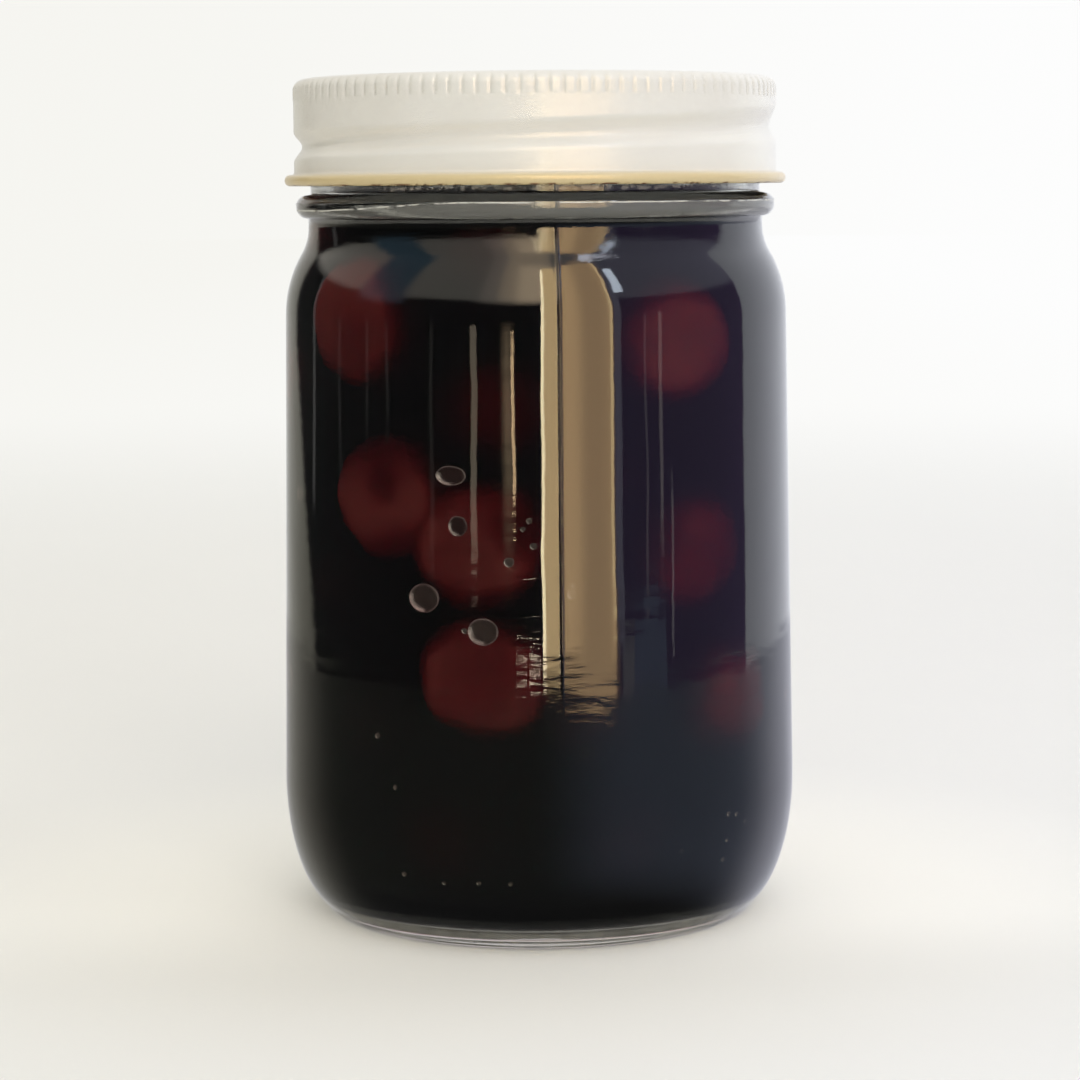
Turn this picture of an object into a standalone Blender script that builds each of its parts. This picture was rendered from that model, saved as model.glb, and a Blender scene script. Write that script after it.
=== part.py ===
"""A clear glass jar of cherries under a white screw lid, in metres, with +Z up.

The origin is on the surface that the jar stands on, under the middle of the jar, and the front
of the jar faces -Y. An angle round the jar is 0 at the front and grows towards +X.
"""

import math
import random

import bmesh
import bpy
import numpy as np

MM = 0.001

# Glass body, outside
BODY_RADIUS = 37.6 * MM
HEEL_RADIUS = 38.7 * MM
HEEL_Z = 20.0 * MM
HEEL_IN = 8.5 * MM
HEEL_SWEEP_DEG = 65.0
SHOULDER_Z = 90.0 * MM
SHOULDER_SHARE = 0.7
NECK_RADIUS = 34.0 * MM
NECK_Z = 103.2 * MM

# Foot and base
FOOT_ARC = 1.4 * MM
CONTACT_OUTER_RADIUS = 31.6 * MM
CONTACT_INNER_RADIUS = 30.2 * MM
PUSH_UP_EDGE_RADIUS = 29.5 * MM
PUSH_UP_EDGE_Z = 0.5 * MM
PUSH_UP_HEIGHT = 2.2 * MM

# Glass body, inside
WALL = 2.6 * MM
FLOOR_Z = 3.0 * MM
FLOOR_CENTRE_Z = 5.9 * MM
INNER_HEEL_ARC = 9.0 * MM
INNER_SHOULDER_Z = 89.0 * MM
INNER_NECK_Z = 104.0 * MM
MOUTH_RADIUS = 30.6 * MM

# Bead, thread and rim of the glass
FINISH_RADIUS = 33.6 * MM
BEAD_RADIUS = 35.8 * MM
BEAD_Z = 106.2 * MM
BEAD_HALF_HEIGHT = 1.8 * MM
RIM_ARC = 0.6 * MM
GLASS_THREAD_WIRE = 1.25 * MM
GLASS_THREAD_ABOVE_GROOVE = 2.6 * MM
GLASS_THREAD_START_DEG = -200.0
GLASS_THREAD_END_DEG = 150.0
GLASS_THREAD_STEPS = 40
GLASS_SEGMENTS = 48

# Screw lid
LID_TOP_Z = 125.0 * MM
LID_RADIUS = 36.0 * MM
LID_SHEET = 0.4 * MM
LID_CORNER_ARC = 1.7 * MM
PANEL_RADIUS = 28.0 * MM
PANEL_STEP = 0.5 * MM
SKIRT_END_Z = 111.3 * MM
CURL_RADIUS = 36.6 * MM
CURL_Z = 110.1 * MM
CURL_ARC = 0.85 * MM
LID_GAP = 0.3 * MM
LID_SEGMENTS = 48

# Rolled thread groove of the lid: one right-hand turn that fades out at both ends
THREAD_PITCH = 5.08 * MM
THREAD_FRONT_Z = 116.3 * MM
THREAD_DEPTH = 1.25 * MM
THREAD_LOWER_FLANK = 2.4 * MM
THREAD_UPPER_FLANK = 2.2 * MM
THREAD_UPPER_WIDENING = 1.6 * MM
THREAD_FADE_IN_DEG = (-230.0, -170.0)
THREAD_FADE_OUT_DEG = (50.0, 200.0)
THREAD_ROWS = 8
THREAD_TOP_Z = 120.8 * MM

# Knurled edge of the lid
KNURL_COUNT = 112
KNURL_DEPTH = 0.3 * MM
KNURL_HALF_WIDTH = 0.25 * MM
KNURL_BOTTOM_Z = 121.9 * MM

# Cherries: the ones that show through the front of the glass are placed one by one, as
# (angle in degrees, height, liquid between cherry and glass), and the rest settle round them.
FRONT_CHERRIES = (
    (-50.0, 89.5 * MM, 0.4 * MM),
    (-39.0, 65.0 * MM, 0.4 * MM),
    (-13.0, 58.0 * MM, 0.5 * MM),
    (-13.0, 40.0 * MM, 0.4 * MM),
    (-12.0, 78.5 * MM, 3.2 * MM),
    (-14.0, 97.0 * MM, 3.0 * MM),
    (37.0, 86.5 * MM, 0.5 * MM),
    (16.0, 68.0 * MM, 4.5 * MM),
    (42.0, 56.0 * MM, 1.6 * MM),
    (14.0, 35.0 * MM, 3.6 * MM),
    (54.0, 36.0 * MM, 2.2 * MM),
)
CHERRY_COUNT = 46
CHERRY_RADIUS = 9.7 * MM
CHERRY_RADIUS_SPREAD = 0.5 * MM
CHERRY_TOP_Z = 109.5 * MM
CHERRY_WALL_GAP = 0.4 * MM
HIDDEN_DEPTH = 4.5 * MM
FRONT_HALF_ANGLE_DEG = 85.0
SUNK_BELOW_Z = 29.0 * MM
SETTLING_STEPS = 400
CHERRY_SEED = 7
CORE_RADIUS = 22.0 * MM
CORE_TOP_Z = 99.0 * MM
CORE_SEGMENTS = 20


def arc(centre, radius, start_deg, end_deg, steps, height=None):
    """Points (r, z) on a round arc, or on an oval one where its height differs from its radius."""
    height = radius if height is None else height
    angles = [math.radians(a) for a in np.linspace(start_deg, end_deg, steps + 1)]
    return [
        (centre[0] + radius * math.cos(a), centre[1] + height * math.sin(a))
        for a in angles
    ]


def shoulder(body_radius, body_z, neck_radius, neck_z, steps):
    """An S of two arcs that is upright at both ends, from the neck down to the body."""
    turn = 2 * math.atan2(body_radius - neck_radius, neck_z - body_z)
    both = (neck_z - body_z) / math.sin(turn)
    lower = both * SHOULDER_SHARE
    upper = both - lower
    turn_deg = math.degrees(turn)
    hollow = arc((neck_radius + upper, neck_z), upper, 180, 180 + turn_deg, steps)
    round_part = arc((body_radius - lower, body_z), lower, turn_deg, 0, steps)
    return hollow + round_part[1:]


def smooth_step(value, low, high):
    """0 below low, 1 above high, and an even S between them."""
    share = min(max((value - low) / (high - low), 0.0), 1.0)
    return share * share * (3 - 2 * share)


def material(name, colour, roughness, metallic=0.0, transmission=0.0):
    """A Principled material of one colour."""
    made = bpy.data.materials.new(name)
    made.use_nodes = True
    made.diffuse_color = (*colour, 1.0)
    shader = made.node_tree.nodes["Principled BSDF"]
    shader.inputs["Base Color"].default_value = (*colour, 1.0)
    shader.inputs["Roughness"].default_value = roughness
    shader.inputs["Metallic"].default_value = metallic
    shader.inputs["Transmission Weight"].default_value = transmission
    return made


def add_object(name, data, collection):
    """An object that holds this mesh or curve, in this collection."""
    made = bpy.data.objects.new(name, data)
    collection.objects.link(made)
    return made


def realise(obj):
    """Replaces an object by a plain mesh object with its modifiers, or its curve, worked out."""
    bpy.context.view_layer.update()
    graph = bpy.context.evaluated_depsgraph_get()
    mesh = bpy.data.meshes.new_from_object(obj.evaluated_get(graph))
    shape = bmesh.new()
    shape.from_mesh(mesh)
    bmesh.ops.remove_doubles(shape, verts=shape.verts, dist=1e-6)
    shape.to_mesh(mesh)
    shape.free()
    name, collection = obj.name, obj.users_collection[0]
    bpy.data.objects.remove(obj)
    return add_object(name, mesh, collection)


def turned(name, profile, segments, collection):
    """A solid of revolution from (r, z) points that run from axis to axis, down the outer side."""
    mesh = bpy.data.meshes.new(name)
    edges = [(i, i + 1) for i in range(len(profile) - 1)]
    mesh.from_pydata([(r, 0.0, z) for r, z in profile], edges, [])
    obj = add_object(name, mesh, collection)
    screw = obj.modifiers.new("Turn", "SCREW")
    screw.axis = "Z"
    screw.angle = 2 * math.pi
    screw.steps = screw.render_steps = segments
    screw.use_merge_vertices = True
    screw.merge_threshold = 1e-6
    return realise(obj)


def boolean(obj, other, operation):
    """Joins or cuts an object with another one and removes the other."""
    step = obj.modifiers.new(operation.title(), "BOOLEAN")
    step.operation = operation
    step.solver = "EXACT"
    step.object = other
    made = realise(obj)
    bpy.data.objects.remove(other)
    return made


def finish(obj, surface, sharp_deg=35.0):
    """Gives a solid its material and smooth round faces."""
    obj.data.materials.clear()
    obj.data.materials.append(surface)
    obj.data.shade_smooth()
    obj.data.set_sharp_from_angle(angle=math.radians(sharp_deg))


def inner_radius(z):
    """The radius of the room inside the glass at a height, and 0 outside it."""
    if not FLOOR_Z <= z <= LID_TOP_Z:
        return 0.0
    heel_radius = HEEL_RADIUS - WALL
    if z < FLOOR_Z + INNER_HEEL_ARC:
        below = FLOOR_Z + INNER_HEEL_ARC - z
        return heel_radius - INNER_HEEL_ARC + math.sqrt(INNER_HEEL_ARC**2 - below**2)
    if z < INNER_SHOULDER_Z:
        share = (z - FLOOR_Z - INNER_HEEL_ARC) / (INNER_SHOULDER_Z - FLOOR_Z - INNER_HEEL_ARC)
        return heel_radius + share * (BODY_RADIUS - HEEL_RADIUS)
    curve = shoulder(BODY_RADIUS - WALL, INNER_SHOULDER_Z, MOUTH_RADIUS, INNER_NECK_Z, 6)
    heights, radii = [p[1] for p in reversed(curve)], [p[0] for p in reversed(curve)]
    return float(np.interp(z, heights, radii))


def glass_profile():
    """The jar's section: up the inside from the floor, over the rim, and down the outside."""
    inner_heel = (HEEL_RADIUS - WALL - INNER_HEEL_ARC, FLOOR_Z + INNER_HEEL_ARC)
    dome = FLOOR_CENTRE_Z - FLOOR_Z
    inside = [
        (inner_heel[0] * share, FLOOR_Z + dome * (1 - share**2) ** 1.5)
        for share in (0.0, 0.4, 0.75)
    ]
    inside += arc(inner_heel, INNER_HEEL_ARC, -90, 0, 3)
    inner_body = BODY_RADIUS - WALL
    inside += shoulder(inner_body, INNER_SHOULDER_Z, MOUTH_RADIUS, INNER_NECK_Z, 2)[::-1]

    rim_top = LID_TOP_Z - LID_SHEET - LID_GAP
    rim = arc((MOUTH_RADIUS + RIM_ARC, rim_top - RIM_ARC), RIM_ARC, 180, 90, 2)
    rim += arc((FINISH_RADIUS - RIM_ARC, rim_top - RIM_ARC), RIM_ARC, 90, 0, 2)

    outside = [(FINISH_RADIUS, BEAD_Z + BEAD_HALF_HEIGHT)]
    bead_in = BEAD_RADIUS - NECK_RADIUS
    outside += arc((NECK_RADIUS, BEAD_Z), bead_in, 70, -90, 5, BEAD_HALF_HEIGHT)
    outside += shoulder(BODY_RADIUS, SHOULDER_Z, NECK_RADIUS, NECK_Z, 3)
    heel_centre = (HEEL_RADIUS - HEEL_IN, HEEL_Z)
    outside += arc(heel_centre, HEEL_IN, 0, -HEEL_SWEEP_DEG, 6, HEEL_Z)
    outside += arc((CONTACT_OUTER_RADIUS, FOOT_ARC), FOOT_ARC, -10, -90, 2)
    outside += [(CONTACT_INNER_RADIUS, 0.0)]
    rise = PUSH_UP_HEIGHT - PUSH_UP_EDGE_Z
    outside += [
        (PUSH_UP_EDGE_RADIUS * share, PUSH_UP_EDGE_Z + rise * (1 - share**2))
        for share in (1.0, 0.65, 0.0)
    ]
    return inside + rim + outside


def thread_height(angle_deg):
    """How high the middle of the lid's groove runs at an angle that may pass a whole turn."""
    return THREAD_FRONT_Z + THREAD_PITCH * angle_deg / 360


def glass_thread(collection):
    """The ridge on the neck that the lid's groove turns under: a wire along a helix."""
    curve = bpy.data.curves.new("glass_thread", "CURVE")
    curve.dimensions = "3D"
    curve.bevel_depth = GLASS_THREAD_WIRE
    curve.bevel_resolution = 1
    curve.use_fill_caps = True
    line = curve.splines.new("POLY")
    line.points.add(GLASS_THREAD_STEPS)
    for i, point in enumerate(line.points):
        share = i / GLASS_THREAD_STEPS
        angle = GLASS_THREAD_START_DEG + share * (GLASS_THREAD_END_DEG - GLASS_THREAD_START_DEG)
        turn = math.radians(angle)
        # The wire sinks into the neck at both ends, so that the ridge fades out
        fade = smooth_step(min(share, 1 - share), 0.0, 0.08)
        radius = FINISH_RADIUS + (fade - 1) * GLASS_THREAD_WIRE
        height = thread_height(angle) + GLASS_THREAD_ABOVE_GROOVE
        point.co = (radius * math.sin(turn), -radius * math.cos(turn), height, 1.0)
    return realise(add_object("glass_thread", curve, collection))


def make_glass(collection, cutters):
    """The jar: one clear body with a foot ring, bead, thread and open mouth."""
    jar = turned("glass_jar", glass_profile(), GLASS_SEGMENTS, collection)
    jar = boolean(jar, glass_thread(cutters), "UNION")
    finish(jar, material("clear_glass", (0.93, 0.96, 0.95), 0.02, transmission=1.0))


def lid_profile():
    """The lid's section: over the top, down the skirt, round the curl and up the inside."""
    corner = (LID_RADIUS - LID_CORNER_ARC, LID_TOP_Z - LID_CORNER_ARC)
    thread_rows = list(np.linspace(THREAD_TOP_Z, SKIRT_END_Z, THREAD_ROWS))
    inside_radius = LID_RADIUS - LID_SHEET
    panel_top = LID_TOP_Z - PANEL_STEP
    outside = [(0.0, panel_top), (PANEL_RADIUS, panel_top), (PANEL_RADIUS + PANEL_STEP, LID_TOP_Z)]
    outside += arc(corner, LID_CORNER_ARC, 90, 0, 3)
    outside += [(LID_RADIUS, z) for z in thread_rows]
    curl = arc((CURL_RADIUS, CURL_Z), CURL_ARC, 120, -180, 6)
    inside = [(inside_radius, z) for z in reversed(thread_rows)]
    inside += arc(corner, LID_CORNER_ARC - LID_SHEET, 0, 90, 2)
    inside += [
        (PANEL_RADIUS + PANEL_STEP, LID_TOP_Z - LID_SHEET),
        (PANEL_RADIUS, panel_top - LID_SHEET),
        (0.0, panel_top - LID_SHEET),
    ]
    return outside + curl + inside


def groove_depth(angle_deg, z):
    """How far the rolled thread presses the lid's sheet in at an angle and a height."""
    deepest = 0.0
    for turn in (-360.0, 0.0, 360.0):
        along = angle_deg + turn
        fade_in = smooth_step(along, *THREAD_FADE_IN_DEG)
        fade_out = 1 - smooth_step(along, *THREAD_FADE_OUT_DEG)
        above = z - thread_height(along)
        widening = THREAD_UPPER_WIDENING * smooth_step(along, 0.0, 90.0)
        flank = THREAD_UPPER_FLANK + widening if above > 0 else THREAD_LOWER_FLANK
        share = min(abs(above) / flank, 1.0)
        depth = THREAD_DEPTH * fade_in * fade_out * math.cos(share * math.pi / 2) ** 2
        deepest = max(deepest, depth)
    return deepest


def roll_thread(lid):
    """Presses the thread groove into both faces of the skirt."""
    for vertex in lid.data.vertices:
        x, y, z = vertex.co
        if not SKIRT_END_Z + MM / 10 < z < THREAD_TOP_Z - MM / 10:
            continue
        radius = math.hypot(x, y)
        angle_deg = math.degrees(math.atan2(x, -y))
        scale = (radius - groove_depth(angle_deg, z)) / radius
        vertex.co.x, vertex.co.y = x * scale, y * scale


def knurl_cutter(collection):
    """A ring of upright wedges that cuts the narrow notches of the lid's edge."""
    shape = bmesh.new()
    tip = LID_RADIUS - KNURL_DEPTH
    reach = 3 * KNURL_DEPTH
    half = KNURL_HALF_WIDTH * reach / KNURL_DEPTH
    for i in range(KNURL_COUNT):
        turn = 2 * math.pi * i / KNURL_COUNT
        out = np.array((math.sin(turn), -math.cos(turn)))
        side = np.array((math.cos(turn), math.sin(turn)))
        corners = (out * tip, out * (tip + reach) - side * half, out * (tip + reach) + side * half)
        base = [shape.verts.new((x, y, KNURL_BOTTOM_Z)) for x, y in corners]
        bottom = shape.faces.new(base)
        pushed = bmesh.ops.extrude_face_region(shape, geom=[bottom])["geom"]
        top = [v for v in pushed if isinstance(v, bmesh.types.BMVert)]
        bmesh.ops.translate(shape, verts=top, vec=(0, 0, LID_TOP_Z - KNURL_BOTTOM_Z + MM))
    bmesh.ops.recalc_face_normals(shape, faces=shape.faces)
    mesh = bpy.data.meshes.new("knurl_cutter")
    shape.to_mesh(mesh)
    shape.free()
    return add_object("knurl_cutter", mesh, collection)


def make_lid(collection, cutters):
    """The lid: one sheet-metal shell with a stepped top, knurled edge, thread and curl."""
    lid = turned("screw_lid", lid_profile(), LID_SEGMENTS, collection)
    roll_thread(lid)
    lid = boolean(lid, knurl_cutter(cutters), "DIFFERENCE")
    finish(lid, material("white_enamel", (0.86, 0.84, 0.79), 0.35))


def widest_reach(z, radius):
    """How far from the axis a cherry's middle may be at a height, so that it fits the glass."""
    slopes = [math.radians(a) for a in range(-60, 61, 15)]
    return min(inner_radius(z + radius * math.sin(a)) - radius * math.cos(a) for a in slopes)


def settled_cherries():
    """The middle, radius and depth behind the glass of each cherry, once none overlap."""
    rng = random.Random(CHERRY_SEED)
    spread = CHERRY_RADIUS_SPREAD
    radii = np.array([CHERRY_RADIUS + rng.uniform(-spread, spread) for _ in range(CHERRY_COUNT)])
    depths = np.empty(CHERRY_COUNT)
    middles = np.empty((CHERRY_COUNT, 3))
    for i in range(CHERRY_COUNT):
        if i < len(FRONT_CHERRIES):
            angle_deg, z, depths[i] = FRONT_CHERRIES[i]
        else:
            angle_deg = rng.uniform(-180, 180)
            z = rng.uniform(FLOOR_Z + radii[i], CHERRY_TOP_Z - radii[i])
            depths[i] = rng.choice((CHERRY_WALL_GAP, HIDDEN_DEPTH / 2, HIDDEN_DEPTH))
        reach = widest_reach(z, radii[i]) - depths[i]
        reach *= 1.0 if i < len(FRONT_CHERRIES) else math.sqrt(rng.random())
        turn = math.radians(angle_deg)
        middles[i] = (reach * math.sin(turn), -reach * math.cos(turn), z)

    for _ in range(SETTLING_STEPS):
        push = np.zeros_like(middles)
        for i in range(CHERRY_COUNT):
            apart = middles[i] - middles
            distance = np.maximum(np.linalg.norm(apart, axis=1), 1e-9)
            overlap = np.maximum(radii[i] + radii - distance, 0.0)
            overlap[i] = 0.0
            push[i] = (apart / distance[:, None] * overlap[:, None]).sum(axis=0) / 2
        middles[len(FRONT_CHERRIES):] += push[len(FRONT_CHERRIES):]
        for i in range(len(FRONT_CHERRIES), CHERRY_COUNT):
            hold_inside(middles, radii, depths, i)
    return middles, radii


def hold_inside(middles, radii, depths, i):
    """Moves one cherry back inside the glass, and behind enough liquid where it is hidden."""
    x, y, z = middles[i]
    z = min(max(z, FLOOR_CENTRE_Z + radii[i] + CHERRY_WALL_GAP), CHERRY_TOP_Z - radii[i])
    facing_front = abs(math.degrees(math.atan2(x, -y))) < FRONT_HALF_ANGLE_DEG
    hidden = facing_front or z < SUNK_BELOW_Z
    depth = max(depths[i], HIDDEN_DEPTH) if hidden else depths[i]
    reach = max(widest_reach(z, radii[i]) - depth, 0.0)
    from_axis = max(math.hypot(x, y), 1e-9)
    scale = min(1.0, reach / from_axis)
    middles[i] = (x * scale, y * scale, z)


def make_cherries(collection, cutters):
    """The heap: the cherries' outer sides fused on a plain core that stands on the floor."""
    middles, radii = settled_cherries()
    core_foot = FLOOR_CENTRE_Z + CHERRY_WALL_GAP
    core_profile = [(0.0, CORE_TOP_Z), (CORE_RADIUS * 0.7, CORE_TOP_Z)]
    core_profile += [(CORE_RADIUS, CORE_TOP_Z - CORE_RADIUS * 0.4)]
    core_profile += [(CORE_RADIUS, core_foot + CORE_RADIUS * 0.3)]
    core_profile += [(CORE_RADIUS * 0.8, core_foot), (0.0, core_foot)]
    heap = turned("cherries", core_profile, CORE_SEGMENTS, collection)
    for i, (middle, radius) in enumerate(zip(middles, radii)):
        bpy.ops.mesh.primitive_ico_sphere_add(subdivisions=2, radius=radius, location=middle)
        ball = bpy.context.active_object
        ball.rotation_euler = (i, 2 * i, 3 * i)
        ball.name = f"cherry_{i}"
        ball.users_collection[0].objects.unlink(ball)
        cutters.objects.link(ball)
    join = heap.modifiers.new("Fuse", "BOOLEAN")
    join.operation = "UNION"
    join.solver = "MANIFOLD"
    join.operand_type = "COLLECTION"
    join.collection = cutters
    heap = realise(heap)
    for ball in list(cutters.objects):
        bpy.data.objects.remove(ball)
    finish(heap, material("cherry_skin", (0.16, 0.02, 0.025), 0.3), sharp_deg=60.0)


def main():
    """Clears the scene and builds the jar, its lid and the cherries."""
    for obj in list(bpy.data.objects):
        bpy.data.objects.remove(obj)
    parts = bpy.data.collections.new("jar_of_cherries")
    cutters = bpy.data.collections.new("cutters")
    for collection in (parts, cutters):
        bpy.context.scene.collection.children.link(collection)
    make_glass(parts, cutters)
    make_lid(parts, cutters)
    make_cherries(parts, cutters)


if __name__ == "__main__":
    main()
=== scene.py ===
"""Dresses a jar of cherries: clear glass, dark syrup, fruit, air bubbles and a white screw lid.

Everything is in metres with +Z up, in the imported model's own frame. The front of the jar faces
-Y, and an angle round the jar is 0 at the front and grows towards +X.
"""

import logging
import math
import random
from collections.abc import Sequence
from dataclasses import dataclass
from enum import Enum

import bpy
import numpy as np
from mathutils import Euler, Matrix, Vector, noise


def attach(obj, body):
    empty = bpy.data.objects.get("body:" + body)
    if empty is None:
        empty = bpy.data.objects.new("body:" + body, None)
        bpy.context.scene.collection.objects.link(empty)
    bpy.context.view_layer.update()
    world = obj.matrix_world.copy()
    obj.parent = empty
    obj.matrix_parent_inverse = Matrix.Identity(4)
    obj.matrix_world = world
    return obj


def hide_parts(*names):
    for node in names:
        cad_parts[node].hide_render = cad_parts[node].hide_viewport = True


MM = 0.001
BODY = "root"
LAMPS_AIM_AT = (0.0, 0.0, 60 * MM)
LOG = logging.getLogger("jar_of_cherries")

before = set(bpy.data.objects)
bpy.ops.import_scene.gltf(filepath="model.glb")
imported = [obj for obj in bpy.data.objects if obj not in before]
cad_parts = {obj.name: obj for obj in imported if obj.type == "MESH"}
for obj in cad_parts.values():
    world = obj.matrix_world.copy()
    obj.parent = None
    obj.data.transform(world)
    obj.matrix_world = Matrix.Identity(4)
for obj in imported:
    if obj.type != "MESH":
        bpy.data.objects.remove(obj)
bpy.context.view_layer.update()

Point = tuple[float, float]
Colour = tuple[float, float, float]


class Slot(Enum):
    """The record's material slots."""

    GLASS = "clear_glass"
    ENAMEL = "white_enamel"
    SKIN = "cherry_skin"
    SYRUP = "dark_syrup"


def arc(
    centre: Point,
    radius: float,
    start_deg: float,
    end_deg: float,
    steps: int,
    height: float | None = None,
) -> list[Point]:
    """Points on a round arc, or on an oval one where its height differs from its radius.

    Args:
        centre: The arc's centre, as (r, z).
        radius: How far the arc reaches sideways.
        start_deg: The angle it starts at, with 0 outward and 90 up.
        end_deg: The angle it ends at.
        steps: How many pieces it has.
        height: How far the arc reaches upward, where that isn't the radius.

    Returns:
        The points (r, z), both ends included.
    """
    height = radius if height is None else height
    angles = np.radians(np.linspace(start_deg, end_deg, steps + 1))
    return [
        (centre[0] + radius * math.cos(a), centre[1] + height * math.sin(a)) for a in angles
    ]


def smooth_step(value: np.ndarray | float, low: float, high: float) -> np.ndarray:
    """0 below low, 1 above high, and an even S between them."""
    share = np.clip((np.asarray(value, float) - low) / (high - low), 0.0, 1.0)
    return share * share * (3 - 2 * share)


def around(columns: int, extra: Sequence[float] = ()) -> np.ndarray:
    """Angles all round the jar in radians, evenly spaced, with extra ones where detail needs it."""
    even = np.arange(columns) * 2 * math.pi / columns
    more = np.mod(np.asarray(extra, float), 2 * math.pi)
    return np.unique(np.round(np.concatenate([even, more]), 7))


def rings_of(
    profile: Sequence[Point], angles: np.ndarray
) -> tuple[np.ndarray, np.ndarray]:
    """The radius and the height of a section's points, repeated for each column of a mesh."""
    columns = np.ones_like(angles)
    radii, heights = (np.array(values)[:, None] * columns for values in zip(*profile))
    return radii, heights


def turned_mesh(
    name: str, angles: np.ndarray, radii: np.ndarray, heights: np.ndarray
) -> bpy.types.Mesh:
    """A closed mesh from rings that run from axis to axis, down the outer side.

    Args:
        name: The mesh's name.
        angles: The angle of each column, in radians.
        radii: The radius of each ring at each column. The first and last ring lie on the axis.
        heights: The height of each ring at each column.

    Returns:
        The mesh, shaded smooth, with one face band for each pair of rings.
    """
    rings, columns = radii.shape
    x = radii * np.sin(angles)
    y = -radii * np.cos(angles)
    body = np.stack([x, y, heights], axis=-1)[1:-1].reshape(-1, 3)
    ends = [(0.0, 0.0, float(heights[0].mean())), (0.0, 0.0, float(heights[-1].mean()))]
    points = [ends[0], *map(tuple, body), ends[1]]
    last = len(points) - 1
    following = [(j + 1) % columns for j in range(columns)]
    faces = [(0, 1 + j, 1 + following[j]) for j in range(columns)]
    for i in range(rings - 3):
        here, below = 1 + i * columns, 1 + (i + 1) * columns
        faces += [
            (here + j, below + j, below + following[j], here + following[j])
            for j in range(columns)
        ]
    final = 1 + (rings - 3) * columns
    faces += [(final + j, last, final + following[j]) for j in range(columns)]
    mesh = bpy.data.meshes.new(name)
    mesh.from_pydata(points, [], faces)
    mesh.shade_smooth()
    return mesh


def joined_mesh(name: str, parts: Sequence[tuple[np.ndarray, Sequence]]) -> bpy.types.Mesh:
    """One mesh from many (points, faces) pairs, shaded smooth."""
    points, faces, start = [], [], 0
    for part_points, part_faces in parts:
        points.append(part_points)
        faces += [[int(v) + start for v in face] for face in part_faces]
        start += len(part_points)
    mesh = bpy.data.meshes.new(name)
    mesh.from_pydata(np.concatenate(points).tolist(), [], faces)
    mesh.shade_smooth()
    return mesh


def unit_ball(subdivisions: int) -> tuple[np.ndarray, np.ndarray]:
    """The points and triangles of a ball of radius 1, with even triangles."""
    before = set(bpy.data.meshes)
    bpy.ops.mesh.primitive_ico_sphere_add(subdivisions=subdivisions, radius=1.0)
    ball = bpy.context.active_object
    points = np.array([v.co for v in ball.data.vertices])
    faces = np.array([p.vertices[:] for p in ball.data.polygons])
    bpy.data.objects.remove(ball)
    for mesh in set(bpy.data.meshes) - before:
        bpy.data.meshes.remove(mesh)
    return points, faces


def place(
    name: str,
    mesh: bpy.types.Mesh,
    finishes: Sequence[bpy.types.Material],
    slot: Slot,
    *nodes: str,
) -> bpy.types.Object:
    """Adds a finished piece to the model.

    Args:
        name: The piece's name.
        mesh: Its mesh, already in place.
        finishes: Its materials, in the order of its face material numbers.
        slot: The record's slot for the piece. Not used.
        nodes: The CAD nodes that it stands for.

    Returns:
        The piece.
    """
    for finish in finishes:
        mesh.materials.append(finish)
    piece = bpy.data.objects.new(name, mesh)
    bpy.context.scene.collection.objects.link(piece)
    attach(piece, BODY)
    if nodes:
        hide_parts(*nodes)
    LOG.info("%s: %d faces", name, len(mesh.polygons))
    return piece


class Graph:
    """Adds nodes to one shader node tree and joins them."""

    def __init__(self, tree: bpy.types.NodeTree) -> None:
        """Keeps the tree that the nodes go in."""
        self.tree = tree

    def add(self, kind: str, values: dict | None = None, **settings) -> bpy.types.Node:
        """Adds one node.

        Args:
            kind: The node's type.
            values: For each input's name or number, a value, or the socket that feeds it.
            settings: The node's own settings.

        Returns:
            The node.
        """
        node = self.tree.nodes.new(kind)
        for key, value in settings.items():
            setattr(node, key, value)
        for key, value in (values or {}).items():
            if isinstance(value, bpy.types.NodeSocket):
                self.tree.links.new(value, node.inputs[key])
            else:
                node.inputs[key].default_value = value
        return node

    def math(self, operation: str, first, second=0.0, third=0.0) -> bpy.types.NodeSocket:
        """The result of one sum on two or three values or sockets."""
        values = {0: first, 1: second, 2: third}
        return self.add("ShaderNodeMath", values, operation=operation).outputs[0]

    def place(self) -> bpy.types.NodeSocket:
        """Where a point lies in the object's own coordinates."""
        return self.add("ShaderNodeTexCoord").outputs["Object"]

    def axis(self, name: str) -> bpy.types.NodeSocket:
        """One of the object's own coordinates."""
        return self.add("ShaderNodeSeparateXYZ", {0: self.place()}).outputs[name]

    def ramp(self, value, low: float, high: float) -> bpy.types.NodeSocket:
        """0 below low and 1 above high, or the other way round where low is the higher one."""
        values = {"Value": value, "From Min": low, "From Max": high}
        node = self.add("ShaderNodeMapRange", values, interpolation_type="SMOOTHSTEP")
        return node.outputs["Result"]

    def mix(self, share, first, second, blend: str = "MIX") -> bpy.types.NodeSocket:
        """One colour blended into another by a share."""
        values = {0: share, 6: first, 7: second}
        node = self.add("ShaderNodeMix", values, data_type="RGBA", blend_type=blend)
        return node.outputs[2]


def rgba(colour: Colour) -> tuple[float, float, float, float]:
    """A colour with full alpha."""
    return (*colour, 1.0)


def new_material(name: str) -> tuple[bpy.types.Material, Graph, bpy.types.Node]:
    """An empty material, its graph and its output node."""
    material = bpy.data.materials.new(name)
    material.use_nodes = True
    graph = Graph(material.node_tree)
    graph.tree.nodes.clear()
    return material, graph, graph.add("ShaderNodeOutputMaterial")


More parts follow.
